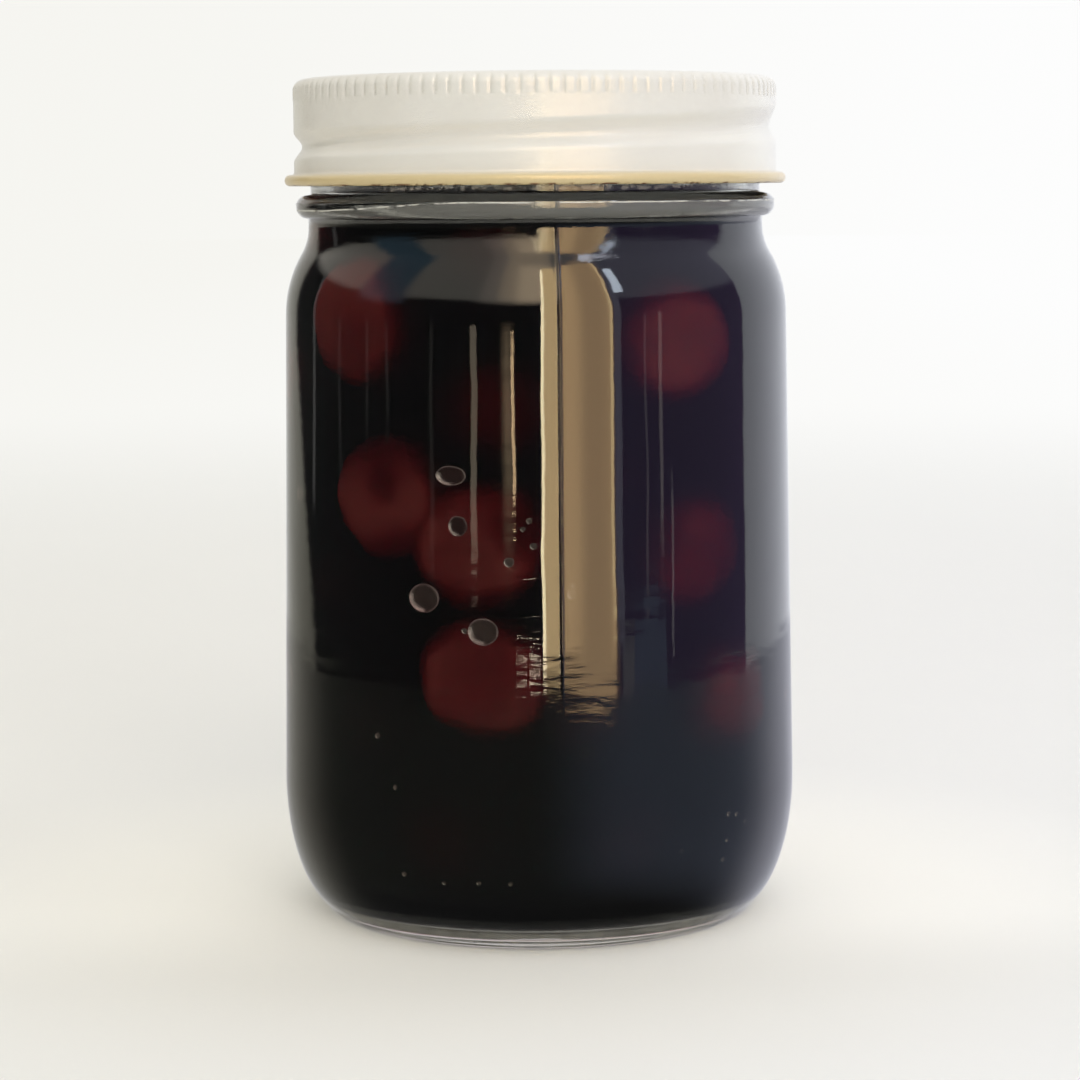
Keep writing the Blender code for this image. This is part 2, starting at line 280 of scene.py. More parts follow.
def node_group(name: str, inputs: dict[str, float], outputs: dict[str, str]) -> Graph:
    """A new node group with number inputs and named outputs.

    Args:
        name: The group's name.
        inputs: Each input's name and default value.
        outputs: Each output's name and socket type.

    Returns:
        The group's graph, in which nodes named "in" and "out" hold its sockets.
    """
    tree = bpy.data.node_groups.new(name, "ShaderNodeTree")
    tree.interface.new_socket("Vector", in_out="INPUT", socket_type="NodeSocketVector")
    for key, value in inputs.items():
        socket = tree.interface.new_socket(key, in_out="INPUT", socket_type="NodeSocketFloat")
        socket.default_value = value
    for key, kind in outputs.items():
        tree.interface.new_socket(key, in_out="OUTPUT", socket_type=kind)
    graph = Graph(tree)
    graph.add("NodeGroupInput", name="in")
    graph.add("NodeGroupOutput", name="out")
    return graph


def mottle_group() -> bpy.types.NodeTree:
    """Uneven patches: a mask from 0 to 1 of cloudy blotches with finer grain in them."""
    graph = node_group(
        "mottle",
        {"Patch Size": 0.01, "Grain Size": 0.001, "Grain Share": 0.3},
        {"Mask": "NodeSocketFloat"},
    )
    source = graph.tree.nodes["in"].outputs
    patch_scale = graph.math("DIVIDE", 1.0, source["Patch Size"])
    grain_scale = graph.math("DIVIDE", 1.0, source["Grain Size"])
    patches = graph.add(
        "ShaderNodeTexNoise",
        {"Vector": source["Vector"], "Scale": patch_scale, "Detail": 3.0},
    )
    grain = graph.add(
        "ShaderNodeTexNoise",
        {"Vector": source["Vector"], "Scale": grain_scale, "Detail": 2.0},
    )
    both = graph.add(
        "ShaderNodeMix",
        {0: source["Grain Share"], 2: patches.outputs["Fac"], 3: grain.outputs["Fac"]},
    )
    mask = graph.ramp(both.outputs[0], 0.3, 0.7)
    graph.tree.links.new(mask, graph.tree.nodes["out"].inputs["Mask"])
    return graph.tree


def ripple_group() -> bpy.types.NodeTree:
    """Flow marks: a height of long shallow waves that lie round the object, with fine ones."""
    graph = node_group(
        "flow_ripple",
        {"Wave Length": 0.006, "Stretch": 3.0, "Fine Share": 0.2},
        {"Height": "NodeSocketFloat"},
    )
    source = graph.tree.nodes["in"].outputs
    stretched = graph.add(
        "ShaderNodeCombineXYZ", {0: 1.0, 1: 1.0, 2: source["Stretch"]}
    )
    laid = graph.add(
        "ShaderNodeVectorMath",
        {0: source["Vector"], 1: stretched.outputs[0]},
        operation="MULTIPLY",
    )
    scale = graph.math("DIVIDE", 1.0, source["Wave Length"])
    waves = graph.add(
        "ShaderNodeTexNoise", {"Vector": laid.outputs[0], "Scale": scale, "Detail": 1.0}
    )
    fine_scale = graph.math("MULTIPLY", scale, 7.0)
    fine = graph.add(
        "ShaderNodeTexNoise", {"Vector": laid.outputs[0], "Scale": fine_scale, "Detail": 1.0}
    )
    both = graph.add(
        "ShaderNodeMix",
        {0: source["Fine Share"], 2: waves.outputs["Fac"], 3: fine.outputs["Fac"]},
    )
    graph.tree.links.new(both.outputs[0], graph.tree.nodes["out"].inputs["Height"])
    return graph.tree


class Finishes:
    """Builds every material once, with the node groups that they share."""

    def __init__(self) -> None:
        """Makes the shared groups."""
        self.mottle = mottle_group()
        self.ripple = ripple_group()

    def blotches(
        self, graph: Graph, patch: float, grain: float = 1.0 * MM
    ) -> bpy.types.NodeSocket:
        """Places the uneven patches in a material.

        Args:
            graph: The material's graph.
            patch: How large the patches are.
            grain: How large the grain in them is.

        Returns:
            Their mask.
        """
        values = {"Vector": graph.place(), "Patch Size": patch, "Grain Size": grain}
        return graph.add("ShaderNodeGroup", values, node_tree=self.mottle).outputs["Mask"]

    def waves(
        self, graph: Graph, length: float, stretch: float, fine: float
    ) -> bpy.types.NodeSocket:
        """Places the flow marks in a material.

        Args:
            graph: The material's graph.
            length: The waves' length.
            stretch: How much shorter they are upward.
            fine: The share of fine waves.

        Returns:
            Their height.
        """
        values = {"Vector": graph.place(), "Wave Length": length, "Stretch": stretch}
        values["Fine Share"] = fine
        return graph.add("ShaderNodeGroup", values, node_tree=self.ripple).outputs["Height"]

    def see_through(
        self, graph: Graph, output: bpy.types.Node, shader: bpy.types.Node
    ) -> None:
        """Lets lamps shine through a clear shader on to what lies behind it."""
        path = graph.add("ShaderNodeLightPath")
        clear = graph.add("ShaderNodeBsdfTransparent")
        both = graph.add(
            "ShaderNodeMixShader",
            {0: path.outputs["Is Shadow Ray"], 1: shader.outputs[0], 2: clear.outputs[0]},
        )
        graph.tree.links.new(both.outputs[0], output.inputs["Surface"])


@dataclass(frozen=True)
class GlassFinish:
    """Clear moulded glass, with long flow ripples, faint handling marks, and pale painted light on
    the bead and the foot.
    """

    name: str
    bends: float
    colour: Colour = (0.94, 0.97, 0.96)
    ripple_depth: float = 0.02 * MM
    wave_length: float = 7.0 * MM
    marks_size: float = 22.0 * MM
    marks_roughness: float = 0.03
    crease_depth: float = 0.05 * MM
    crease_length: float = 5.0 * MM
    creased: Point = (97.0 * MM, 102.0 * MM)
    # Painted light: a pale matt colour on the bead, its parting line and the foot, which stands in
    # for light carried through and mirrored in the glass
    painted_glass_light: Colour = (0.80, 0.78, 0.70)
    painted_bead_light_top: float = 106.8 * MM
    painted_line_half_width: float = 0.16 * MM
    painted_bead_light_drop: float = 1.1 * MM
    painted_bead_light_wander: float = 0.25 * MM
    painted_line_z: float = 106.92 * MM
    painted_bead_light_drops: Point = (-10.0 * MM, -33.0 * MM)
    painted_bead_light_from_z: float = 104.5 * MM
    painted_bead_light: float = 0.13
    foot_z: float = 2.9 * MM
    painted_foot_light: float = 0.24

    def make(self, finishes: Finishes) -> bpy.types.Material:
        """Builds the material.

        Args:
            finishes: The shared groups.

        Returns:
            The material.
        """
        material, graph, output = new_material(self.name)
        flow = finishes.waves(graph, self.wave_length, 3.0, 0.12)
        soft = graph.add(
            "ShaderNodeBump", {"Height": flow, "Distance": self.ripple_depth, "Strength": 1.0}
        )
        creases = finishes.waves(graph, self.crease_length, 7.0, 0.3)
        on_neck = graph.ramp(graph.axis("Z"), *self.creased)
        bump = graph.add(
            "ShaderNodeBump",
            {
                "Height": graph.math("MULTIPLY", creases, on_neck),
                "Distance": self.crease_depth,
                "Normal": soft.outputs["Normal"],
            },
        )
        # Painted light: where the glass takes the pale matt shader below
        painted_share = self.painted_light_share(finishes, graph, creases)
        smears = finishes.blotches(graph, self.marks_size)
        roughness = graph.math("MULTIPLY", smears, self.marks_roughness)
        shader = graph.add(
            "ShaderNodeBsdfPrincipled",
            {
                "Base Color": rgba(self.colour),
                "Roughness": roughness,
                "IOR": self.bends,
                "Transmission Weight": 1.0,
                "Normal": bump.outputs["Normal"],
            },
        )
        # A pale matt shader that paints light on the bead, its parting line and the foot
        dull = graph.add(
            "ShaderNodeBsdfPrincipled",
            {"Base Color": rgba(self.painted_glass_light), "Roughness": 0.5, "Normal": bump.outputs["Normal"]},
        )
        worn = graph.add(
            "ShaderNodeMixShader", {0: painted_share, 1: shader.outputs[0], 2: dull.outputs[0]}
        )
        finishes.see_through(graph, output, worn)
        return material

    def painted_light_share(
        self, finishes: Finishes, graph: Graph, wander: bpy.types.NodeSocket
    ) -> bpy.types.NodeSocket:
        """How much painted light the glass takes: a painted highlight along the bead's parting line,
        a painted glow below that, and a painted grey band on the foot.

        Args:
            finishes: The shared groups.
            graph: The material's graph.
            wander: Uneven heights between 0 and 1, which bend the line.

        Returns:
            The share of painted light.
        """
        height = graph.axis("Z")
        drop = graph.ramp(graph.axis("X"), *self.painted_bead_light_drops)
        level = graph.math("MULTIPLY_ADD", drop, self.painted_bead_light_drop, height)
        level = graph.math("MULTIPLY_ADD", wander, self.painted_bead_light_wander, level)
        away = graph.math("ABSOLUTE", graph.math("SUBTRACT", level, self.painted_line_z))
        glass_light_breakup = finishes.blotches(graph, 2.2 * MM, 0.22 * MM)
        # Painted highlight along the bead's mould parting line
        line = graph.ramp(away, self.painted_line_half_width, 0.3 * self.painted_line_half_width)
        line = graph.math("MULTIPLY", line, graph.ramp(glass_light_breakup, 0.0, 0.5))
        # Painted glow on the bead below the line, in place of light carried through the glass
        below = graph.ramp(level, self.painted_bead_light_top + 0.1 * MM, self.painted_bead_light_top - 0.1 * MM)
        above = graph.ramp(height, self.painted_bead_light_from_z, self.painted_bead_light_from_z + 0.3 * MM)
        painted_glow = graph.math("MULTIPLY", graph.math("MULTIPLY", below, above), self.painted_bead_light)
        # Painted grey band on the foot, in place of the table seen through and mirrored in the base
        foot = graph.ramp(height, self.foot_z + 0.5 * MM, self.foot_z - 0.3 * MM)
        foot = graph.math("MULTIPLY", foot, graph.ramp(glass_light_breakup, -0.6, 0.8))
        painted_glow = graph.math("MAXIMUM", painted_glow, graph.math("MULTIPLY", foot, self.painted_foot_light))
        return graph.math("MAXIMUM", graph.math("MULTIPLY", line, 0.8), painted_glow)


@dataclass(frozen=True)
class BubbleFinish:
    """The skin of an air bubble: a painted lighter inside, in place of light that passes through it,
    and painted glints on its rim.
    """

    clear: Colour = (0.022, 0.008, 0.007)
    # Painted light: the lighter inside of a bubble, and the colour of the painted glints on its rim
    painted_lit_inside: Colour = (0.10, 0.088, 0.068)
    rim: Colour = (0.95, 0.90, 0.74)
    passes: float = 0.35
    bends: float = 1.05

    def make(self, finishes: Finishes) -> bpy.types.Material:
        """Builds the material.

        Args:
            finishes: The shared groups.

        Returns:
            The material.
        """
        material, graph, output = new_material("bubble_skin")
        # Painted light that each point carries: "cloud" for a lighter inside, "rim" for a glint
        glint_breakup = finishes.blotches(graph, 1.3 * MM, 0.3 * MM)
        cloud = graph.add("ShaderNodeAttribute", attribute_name="cloud").outputs["Fac"]
        rim = graph.add("ShaderNodeAttribute", attribute_name="rim").outputs["Fac"]
        patchy = graph.math("MULTIPLY_ADD", glint_breakup, -0.5, 1.0)
        skin = graph.mix(graph.math("MULTIPLY", cloud, patchy), rgba(self.clear), rgba(self.painted_lit_inside))
        shader = graph.add(
            "ShaderNodeBsdfPrincipled",
            {
                "Base Color": graph.mix(graph.math("MULTIPLY", rim, patchy), skin, rgba(self.rim)),
                "Roughness": 0.1,
                "IOR": self.bends,
                "Transmission Weight": self.passes,
            },
        )
        finishes.see_through(graph, output, shader)
        return material


@dataclass(frozen=True)
class SyrupFinish:
    """Clear, nearly black syrup: red light goes deepest into it and green light least."""

    name: str
    bends: float
    density: float = 1000.0
    passes: Colour = (0.68, 0.05, 0.22)

    def make(self, finishes: Finishes) -> bpy.types.Material:
        """Builds the material.

        Args:
            finishes: The shared groups.

        Returns:
            The material.
        """
        material, graph, output = new_material(self.name)
        shader = graph.add(
            "ShaderNodeBsdfPrincipled",
            {
                "Base Color": rgba((1.0, 1.0, 1.0)),
                "Roughness": 0.0,
                "IOR": self.bends,
                "Transmission Weight": 1.0,
            },
        )
        finishes.see_through(graph, output, shader)
        soak = graph.add(
            "ShaderNodeVolumeAbsorption",
            {"Color": rgba(self.passes), "Density": self.density},
        )
        graph.tree.links.new(soak.outputs[0], output.inputs["Volume"])
        return material


@dataclass(frozen=True)
class CherryFinish:
    """Soft dark red fruit skin, blotched where it has bruised and paled."""

    ripe: Colour = (0.095, 0.010, 0.010)
    bruised: Colour = (0.060, 0.008, 0.008)
    paled: Colour = (0.190, 0.062, 0.040)
    most_paled: float = 0.7
    wrinkle_depth: float = 0.12 * MM
    wettest: float = 0.3
    dulled: float = 0.2

    def make(self, finishes: Finishes) -> bpy.types.Material:
        """Builds the material.

        Args:
            finishes: The shared groups.

        Returns:
            The material.
        """
        material, graph, output = new_material("cherry_skin")
        blotches = finishes.blotches(graph, 9.0 * MM, 1.2 * MM)
        bloom = finishes.blotches(graph, 17.0 * MM, 2.5 * MM)
        dark = graph.mix(blotches, rgba(self.ripe), rgba(self.bruised))
        pale = graph.math("MULTIPLY", bloom, self.most_paled)
        colour = graph.mix(pale, dark, rgba(self.paled))
        wrinkles = finishes.waves(graph, 3.0 * MM, 0.6, 0.4)
        bump = graph.add("ShaderNodeBump", {"Height": wrinkles, "Distance": self.wrinkle_depth})
        wet = graph.math("MULTIPLY_ADD", blotches, self.dulled, self.wettest)
        shader = graph.add(
            "ShaderNodeBsdfPrincipled",
            {
                "Base Color": colour,
                "Roughness": wet,
                "Specular IOR Level": 0.0,
                "Normal": bump.outputs["Normal"],
            },
        )
        graph.tree.links.new(shader.outputs[0], output.inputs["Surface"])
        return material


@dataclass(frozen=True)
class EnamelFinish:
    """Warm white enamel on tinplate, with tan lacquer on the curled rim and a few rust flecks."""

    curl_top: float
    curl_bottom: float
    enamel: Colour = (0.86, 0.83, 0.76)
    shaded: Colour = (0.80, 0.765, 0.69)
    lacquer: Colour = (0.70, 0.56, 0.31)
    rust: Colour = (0.16, 0.075, 0.035)
    peel_depth: float = 0.012 * MM
    glossiest: float = 0.27
    dulled: float = 0.1

    def make(self, finishes: Finishes) -> bpy.types.Material:
        """Builds the material.

        Args:
            finishes: The shared groups.

        Returns:
            The material.
        """
        material, graph, output = new_material("white_enamel")
        cloud = finishes.blotches(graph, 24.0 * MM, 0.9 * MM)
        height = graph.axis("Z")
        paint = graph.mix(cloud, rgba(self.enamel), rgba(self.shaded))
        low = graph.ramp(height, self.curl_top, self.curl_top - 0.9 * MM)
        coat = graph.mix(low, paint, rgba(self.lacquer))
        flecks = finishes.blotches(graph, 1.6 * MM, 0.35 * MM)
        edge = graph.ramp(height, self.curl_bottom + 0.35 * MM, self.curl_bottom + 0.1 * MM)
        sparse = graph.ramp(flecks, 0.55, 0.75)
        worn = graph.math("MULTIPLY", edge, sparse)
        colour = graph.mix(worn, coat, rgba(self.rust))
        peel = finishes.waves(graph, 1.1 * MM, 1.0, 0.3)
        bump = graph.add("ShaderNodeBump", {"Height": peel, "Distance": self.peel_depth})
        dull = graph.math("MULTIPLY_ADD", cloud, self.dulled, self.glossiest)
        shader = graph.add(
            "ShaderNodeBsdfPrincipled",
            {
                "Base Color": colour,
                "Roughness": dull,
                "Coat Weight": 0.15,
                "Coat Roughness": 0.12,
                "Normal": bump.outputs["Normal"],
            },
        )
        graph.tree.links.new(shader.outputs[0], output.inputs["Surface"])
        return material


@dataclass(frozen=True)
class FloorFinish:
    """A pale matt floor, with painted shade across it and near the object, that blends into the
    backdrop far from the object.
    """

    # Painted shade: the floor is darker and warmer towards -X, where the light is dimmer and warmer
    left: Colour = (0.955, 0.945, 0.888)
    right: Colour = (0.99, 0.99, 0.985)
    # Painted shadow: the warm tint of the floor near the object, as if light came through the syrup
    painted_warm_shadow: Colour = (1.0, 0.985, 0.94)
    grain_shade: float = 0.985
    far_left: Colour = (0.92, 0.915, 0.875)
    far_right: Colour = (0.98, 0.982, 0.98)
    blend_start: float = 0.06
    blend_end: float = 1.1
    bounce: float = 0.175
    bounce_reach: Point = (0.125, 0.04)
    bounce_front: Point = (-0.055, -0.005)

    def make(self, finishes: Finishes) -> bpy.types.Material:
        """Builds the material.

        Args:
            finishes: The shared groups.

        Returns:
            The material.
        """
        material, graph, output = new_material("pale_floor")
        length = graph.add("ShaderNodeVectorMath", {0: graph.place()}, operation="LENGTH")
        distance = length.outputs["Value"]
        grain = finishes.blotches(graph, 60.0 * MM, 1.5 * MM)
        sideways = graph.axis("X")
        # Painted shade across the floor, from the darker warm side at -X to the paler side at +X
        across = graph.ramp(sideways, -0.12, 0.12)
        even = graph.mix(across, rgba(self.left), rgba(self.right))
        shade = rgba((self.grain_shade,) * 3)
        tint = graph.mix(grain, even, shade, "MULTIPLY")
        near = graph.ramp(distance, *self.bounce_reach)
        # Painted shadow: a warmer floor near the object
        tint = graph.mix(near, tint, rgba(self.painted_warm_shadow), "MULTIPLY")
        far = graph.mix(graph.ramp(sideways, -0.5, 0.5), rgba(self.far_left), rgba(self.far_right))
        matt = graph.add("ShaderNodeBsdfPrincipled", {"Base Color": tint, "Roughness": 0.75})
        glow = graph.add("ShaderNodeEmission", {"Color": far})
        # Light that the pale room throws back beside and behind the object
        beside = graph.ramp(graph.axis("Y"), *self.bounce_front)
        bounced = graph.math("MULTIPLY", graph.math("MULTIPLY", near, beside), self.bounce)
        lift = graph.add("ShaderNodeEmission", {"Color": tint, "Strength": bounced})
        lifted = graph.add("ShaderNodeAddShader", {0: matt.outputs[0], 1: lift.outputs[0]})
        both = graph.add(
            "ShaderNodeMixShader",
            {
                0: graph.ramp(distance, self.blend_start, self.blend_end),
                1: lifted.outputs[0],
                2: glow.outputs[0],
            },
        )
        graph.tree.links.new(both.outputs[0], output.inputs["Surface"])
        return material


@dataclass(frozen=True)
class Ripple:
    """Gentle unevenness of a moulded surface: a few long waves with random directions."""

    depth: float
    shortest: float
    radius: float
    seed: int
    waves: int = 14

    def height(self, angles: np.ndarray, heights: np.ndarray) -> np.ndarray:
        """How far the surface stands out at each angle and height.

        Args:
            angles: Angles round the jar, in radians.
            heights: Heights of the same points.

        Returns:
            The offsets, in metres.
        """
        rng = random.Random(self.seed)
        most_turns = int(2 * math.pi * self.radius / self.shortest)
        total = np.zeros(np.broadcast(angles, heights).shape)
        for _ in range(self.waves):
            turns = rng.randint(2, most_turns)
            upward = rng.uniform(-1, 1) * 2 * math.pi / (self.shortest * 2.5)
            phase = rng.uniform(0, 2 * math.pi)
            share = rng.uniform(0.4, 1.0) * 6 / (4 + turns)
            total = total + share * np.sin(turns * angles + upward * heights + phase)
        return self.depth * total / math.sqrt(self.waves)


@dataclass(frozen=True)
class JarShape:
    """The jar's section, outside and inside."""

    body_radius: float = 37.6 * MM
    heel_radius: float = 38.7 * MM
    heel_z: float = 20.0 * MM
    heel_in: float = 8.5 * MM
    heel_sweep_deg: float = 65.0
    shoulder_z: float = 90.0 * MM
    shoulder_share: float = 0.7
    neck_radius: float = 34.0 * MM
    neck_z: float = 103.2 * MM
    foot_arc: float = 1.4 * MM
    contact_outer: float = 31.6 * MM
    contact_inner: float = 30.2 * MM
    push_up_edge: float = 29.5 * MM
    push_up_edge_z: float = 0.5 * MM
    push_up: float = 2.2 * MM
    wall: float = 2.6 * MM
    floor_z: float = 3.0 * MM
    floor_centre_z: float = 5.9 * MM
    inner_heel_arc: float = 9.0 * MM
    inner_shoulder_z: float = 89.0 * MM
    inner_neck_z: float = 104.0 * MM
    mouth_radius: float = 30.6 * MM
    finish_radius: float = 33.6 * MM
    bead_radius: float = 35.8 * MM
    bead_z: float = 106.2 * MM
    bead_half_height: float = 1.8 * MM
    rim_arc: float = 0.6 * MM
    rim_z: float = 124.3 * MM

    def shoulder(
        self, body_radius: float, body_z: float, neck_radius: float, neck_z: float, steps: int
    ) -> list[Point]:
        """An S of two arcs that is upright at both ends, from the neck down to the body.

        Args:
            body_radius: The radius at its lower end.
            body_z: The height of its lower end.
            neck_radius: The radius at its upper end.
            neck_z: The height of its upper end.
            steps: How many pieces each arc has.

        Returns:
            The points (r, z), top first.
        """
        turn = 2 * math.atan2(body_radius - neck_radius, neck_z - body_z)
        both = (neck_z - body_z) / math.sin(turn)
        lower = both * self.shoulder_share
        upper = both - lower
        turn_deg = math.degrees(turn)
        hollow = arc((neck_radius + upper, neck_z), upper, 180, 180 + turn_deg, steps)
        return hollow + arc((body_radius - lower, body_z), lower, turn_deg, 0, steps)[1:]

    def inside(self) -> list[Point]:
        """The inner wall from the middle of the floor up to the mouth."""
        heel_radius = self.heel_radius - self.wall
        heel = (heel_radius - self.inner_heel_arc, self.floor_z + self.inner_heel_arc)
        rise = self.floor_centre_z - self.floor_z
        dome = [
            (share * heel[0], self.floor_z + rise * (1 - share**2) ** 1.5)
            for share in (0.0, 0.1, 0.2, 0.3, 0.4, 0.5, 0.6, 0.7, 0.8, 0.9)
        ]
        corner = arc(heel, self.inner_heel_arc, -90, 0, 14)
        body_radius = self.body_radius - self.wall
        low, high = corner[-1], (body_radius, self.inner_shoulder_z)
        wall = [
            (low[0] + (high[0] - low[0]) * share, low[1] + (high[1] - low[1]) * share)
            for share in np.linspace(0, 1, 32)[1:-1]
        ]
        upper = self.shoulder(
            body_radius, self.inner_shoulder_z, self.mouth_radius, self.inner_neck_z, 9
        )
        neck = [(self.mouth_radius, z) for z in np.linspace(self.inner_neck_z, self.rim_z, 8)]
        return dome + corner + wall + upper[::-1] + neck[1:-1]

    def rim(self) -> list[Point]:
        """The rounded top of the neck, from the inside over to the outside."""
        low = self.rim_z - self.rim_arc
        inner = arc((self.mouth_radius + self.rim_arc, low), self.rim_arc, 180, 90, 5)
        return inner + arc((self.finish_radius - self.rim_arc, low), self.rim_arc, 90, 0, 5)

    def outside(self) -> list[Point]:
        """The outer wall from below the rim down to the middle of the base."""
        bead_top = self.bead_z + self.bead_half_height
        neck = [
            (self.finish_radius, z) for z in np.linspace(self.rim_z - 1.2 * MM, bead_top, 34)
        ]
        bead_in = self.bead_radius - self.neck_radius
        bead = arc((self.neck_radius, self.bead_z), bead_in, 72, -90, 44, self.bead_half_height)
        shoulder = self.shoulder(
            self.body_radius, self.shoulder_z, self.neck_radius, self.neck_z, 12
        )
        wall = [
            (self.body_radius + (self.heel_radius - self.body_radius) * share,
             self.shoulder_z + (self.heel_z - self.shoulder_z) * share)
            for share in np.linspace(0, 1, 46)[1:-1]
        ]
        heel_centre = (self.heel_radius - self.heel_in, self.heel_z)
        heel = arc(heel_centre, self.heel_in, 0, -self.heel_sweep_deg, 22, self.heel_z)
        foot = arc((self.contact_outer, self.foot_arc), self.foot_arc, -10, -90, 8)
        ring = [(self.contact_inner, 0.0), (self.contact_inner - 0.3 * MM, 0.12 * MM)]
        rise = self.push_up - self.push_up_edge_z
        hollow = [
            (self.push_up_edge * share, self.push_up_edge_z + rise * (1 - share**2))
            for share in (1.0, 0.93, 0.8, 0.6, 0.4, 0.2, 0.0)
        ]
        return neck + bead + shoulder + wall + heel + foot + ring + hollow

    def inner_radius(self, z: float) -> float:
        """The radius of the room inside the glass at a height, and 0 outside it."""
        if not self.floor_z <= z <= self.rim_z:
            return 0.0
        heel_radius = self.heel_radius - self.wall
        heel_top = self.floor_z + self.inner_heel_arc
        if z < heel_top:
            below = heel_top - z
            across = math.sqrt(self.inner_heel_arc**2 - below**2)
            return heel_radius - self.inner_heel_arc + across
        if z < self.inner_shoulder_z:
            share = (z - heel_top) / (self.inner_shoulder_z - heel_top)
            return heel_radius + share * (self.body_radius - self.heel_radius)
        curve = self.shoulder(
            self.body_radius - self.wall,
            self.inner_shoulder_z,
            self.mouth_radius,
            self.inner_neck_z,
            6,
        )
        return float(np.interp(z, [p[1] for p in curve[::-1]], [p[0] for p in curve[::-1]]))


@dataclass(frozen=True)
class Thread:
    """The right-hand thread that the lid and the neck share."""

    pitch: float = 5.08 * MM
    front_z: float = 116.3 * MM
    depth: float = 1.25 * MM
    lower_flank: float = 2.4 * MM
    upper_flank: float = 2.2 * MM
    upper_widening: float = 1.6 * MM
    fade_in_deg: Point = (-230.0, -170.0)
    fade_out_deg: Point = (50.0, 200.0)
    ridge_above: float = 2.6 * MM
    ridge: float = 1.25 * MM
    ridge_start_deg: float = -200.0
    ridge_end_deg: float = 150.0

    def height(self, angle_deg: np.ndarray) -> np.ndarray:
        """How high the groove runs at an angle that may pass a whole turn."""
        return self.front_z + self.pitch * angle_deg / 360

    def groove(self, angles: np.ndarray, heights: np.ndarray) -> np.ndarray:
        """How far the lid's sheet is pressed in at each angle and height.

        Args:
            angles: Angles round the jar, in radians.
            heights: Heights of the same points.

        Returns:
            The depths, in metres.
        """
        front = np.degrees(np.arctan2(np.sin(angles), np.cos(angles)))
        deepest = np.zeros(np.broadcast(angles, heights).shape)
        for turn in (-360.0, 0.0, 360.0):
            along = front + turn
            present = smooth_step(along, *self.fade_in_deg)
            present = present * (1 - smooth_step(along, *self.fade_out_deg))
            above = heights - self.height(along)
            wide = self.upper_flank + self.upper_widening * smooth_step(along, 0.0, 90.0)
            share = np.minimum(np.abs(above) / np.where(above > 0, wide, self.lower_flank), 1.0)
            deepest = np.maximum(deepest, self.depth * present * np.cos(share * math.pi / 2) ** 2)
        return deepest

    def ridge_height(self, angles: np.ndarray, heights: np.ndarray) -> np.ndarray:
        """How far the neck's ridge stands out at each angle and height.

        Args:
            angles: Angles round the jar, in radians.
            heights: Heights of the same points.

        Returns:
            The offsets, in metres.
        """
        front = np.degrees(np.arctan2(np.sin(angles), np.cos(angles)))
        tallest = np.zeros(np.broadcast(angles, heights).shape)
        length = self.ridge_end_deg - self.ridge_start_deg
        for turn in (-360.0, 0.0, 360.0):
            share = (front + turn - self.ridge_start_deg) / length
            present = smooth_step(np.minimum(share, 1 - share), 0.0, 0.08)
            above = heights - self.height(front + turn) - self.ridge_above
            round_part = np.maximum(self.ridge**2 - above**2, 0.0)
            tallest = np.maximum(tallest, present * np.sqrt(round_part))
        return tallest


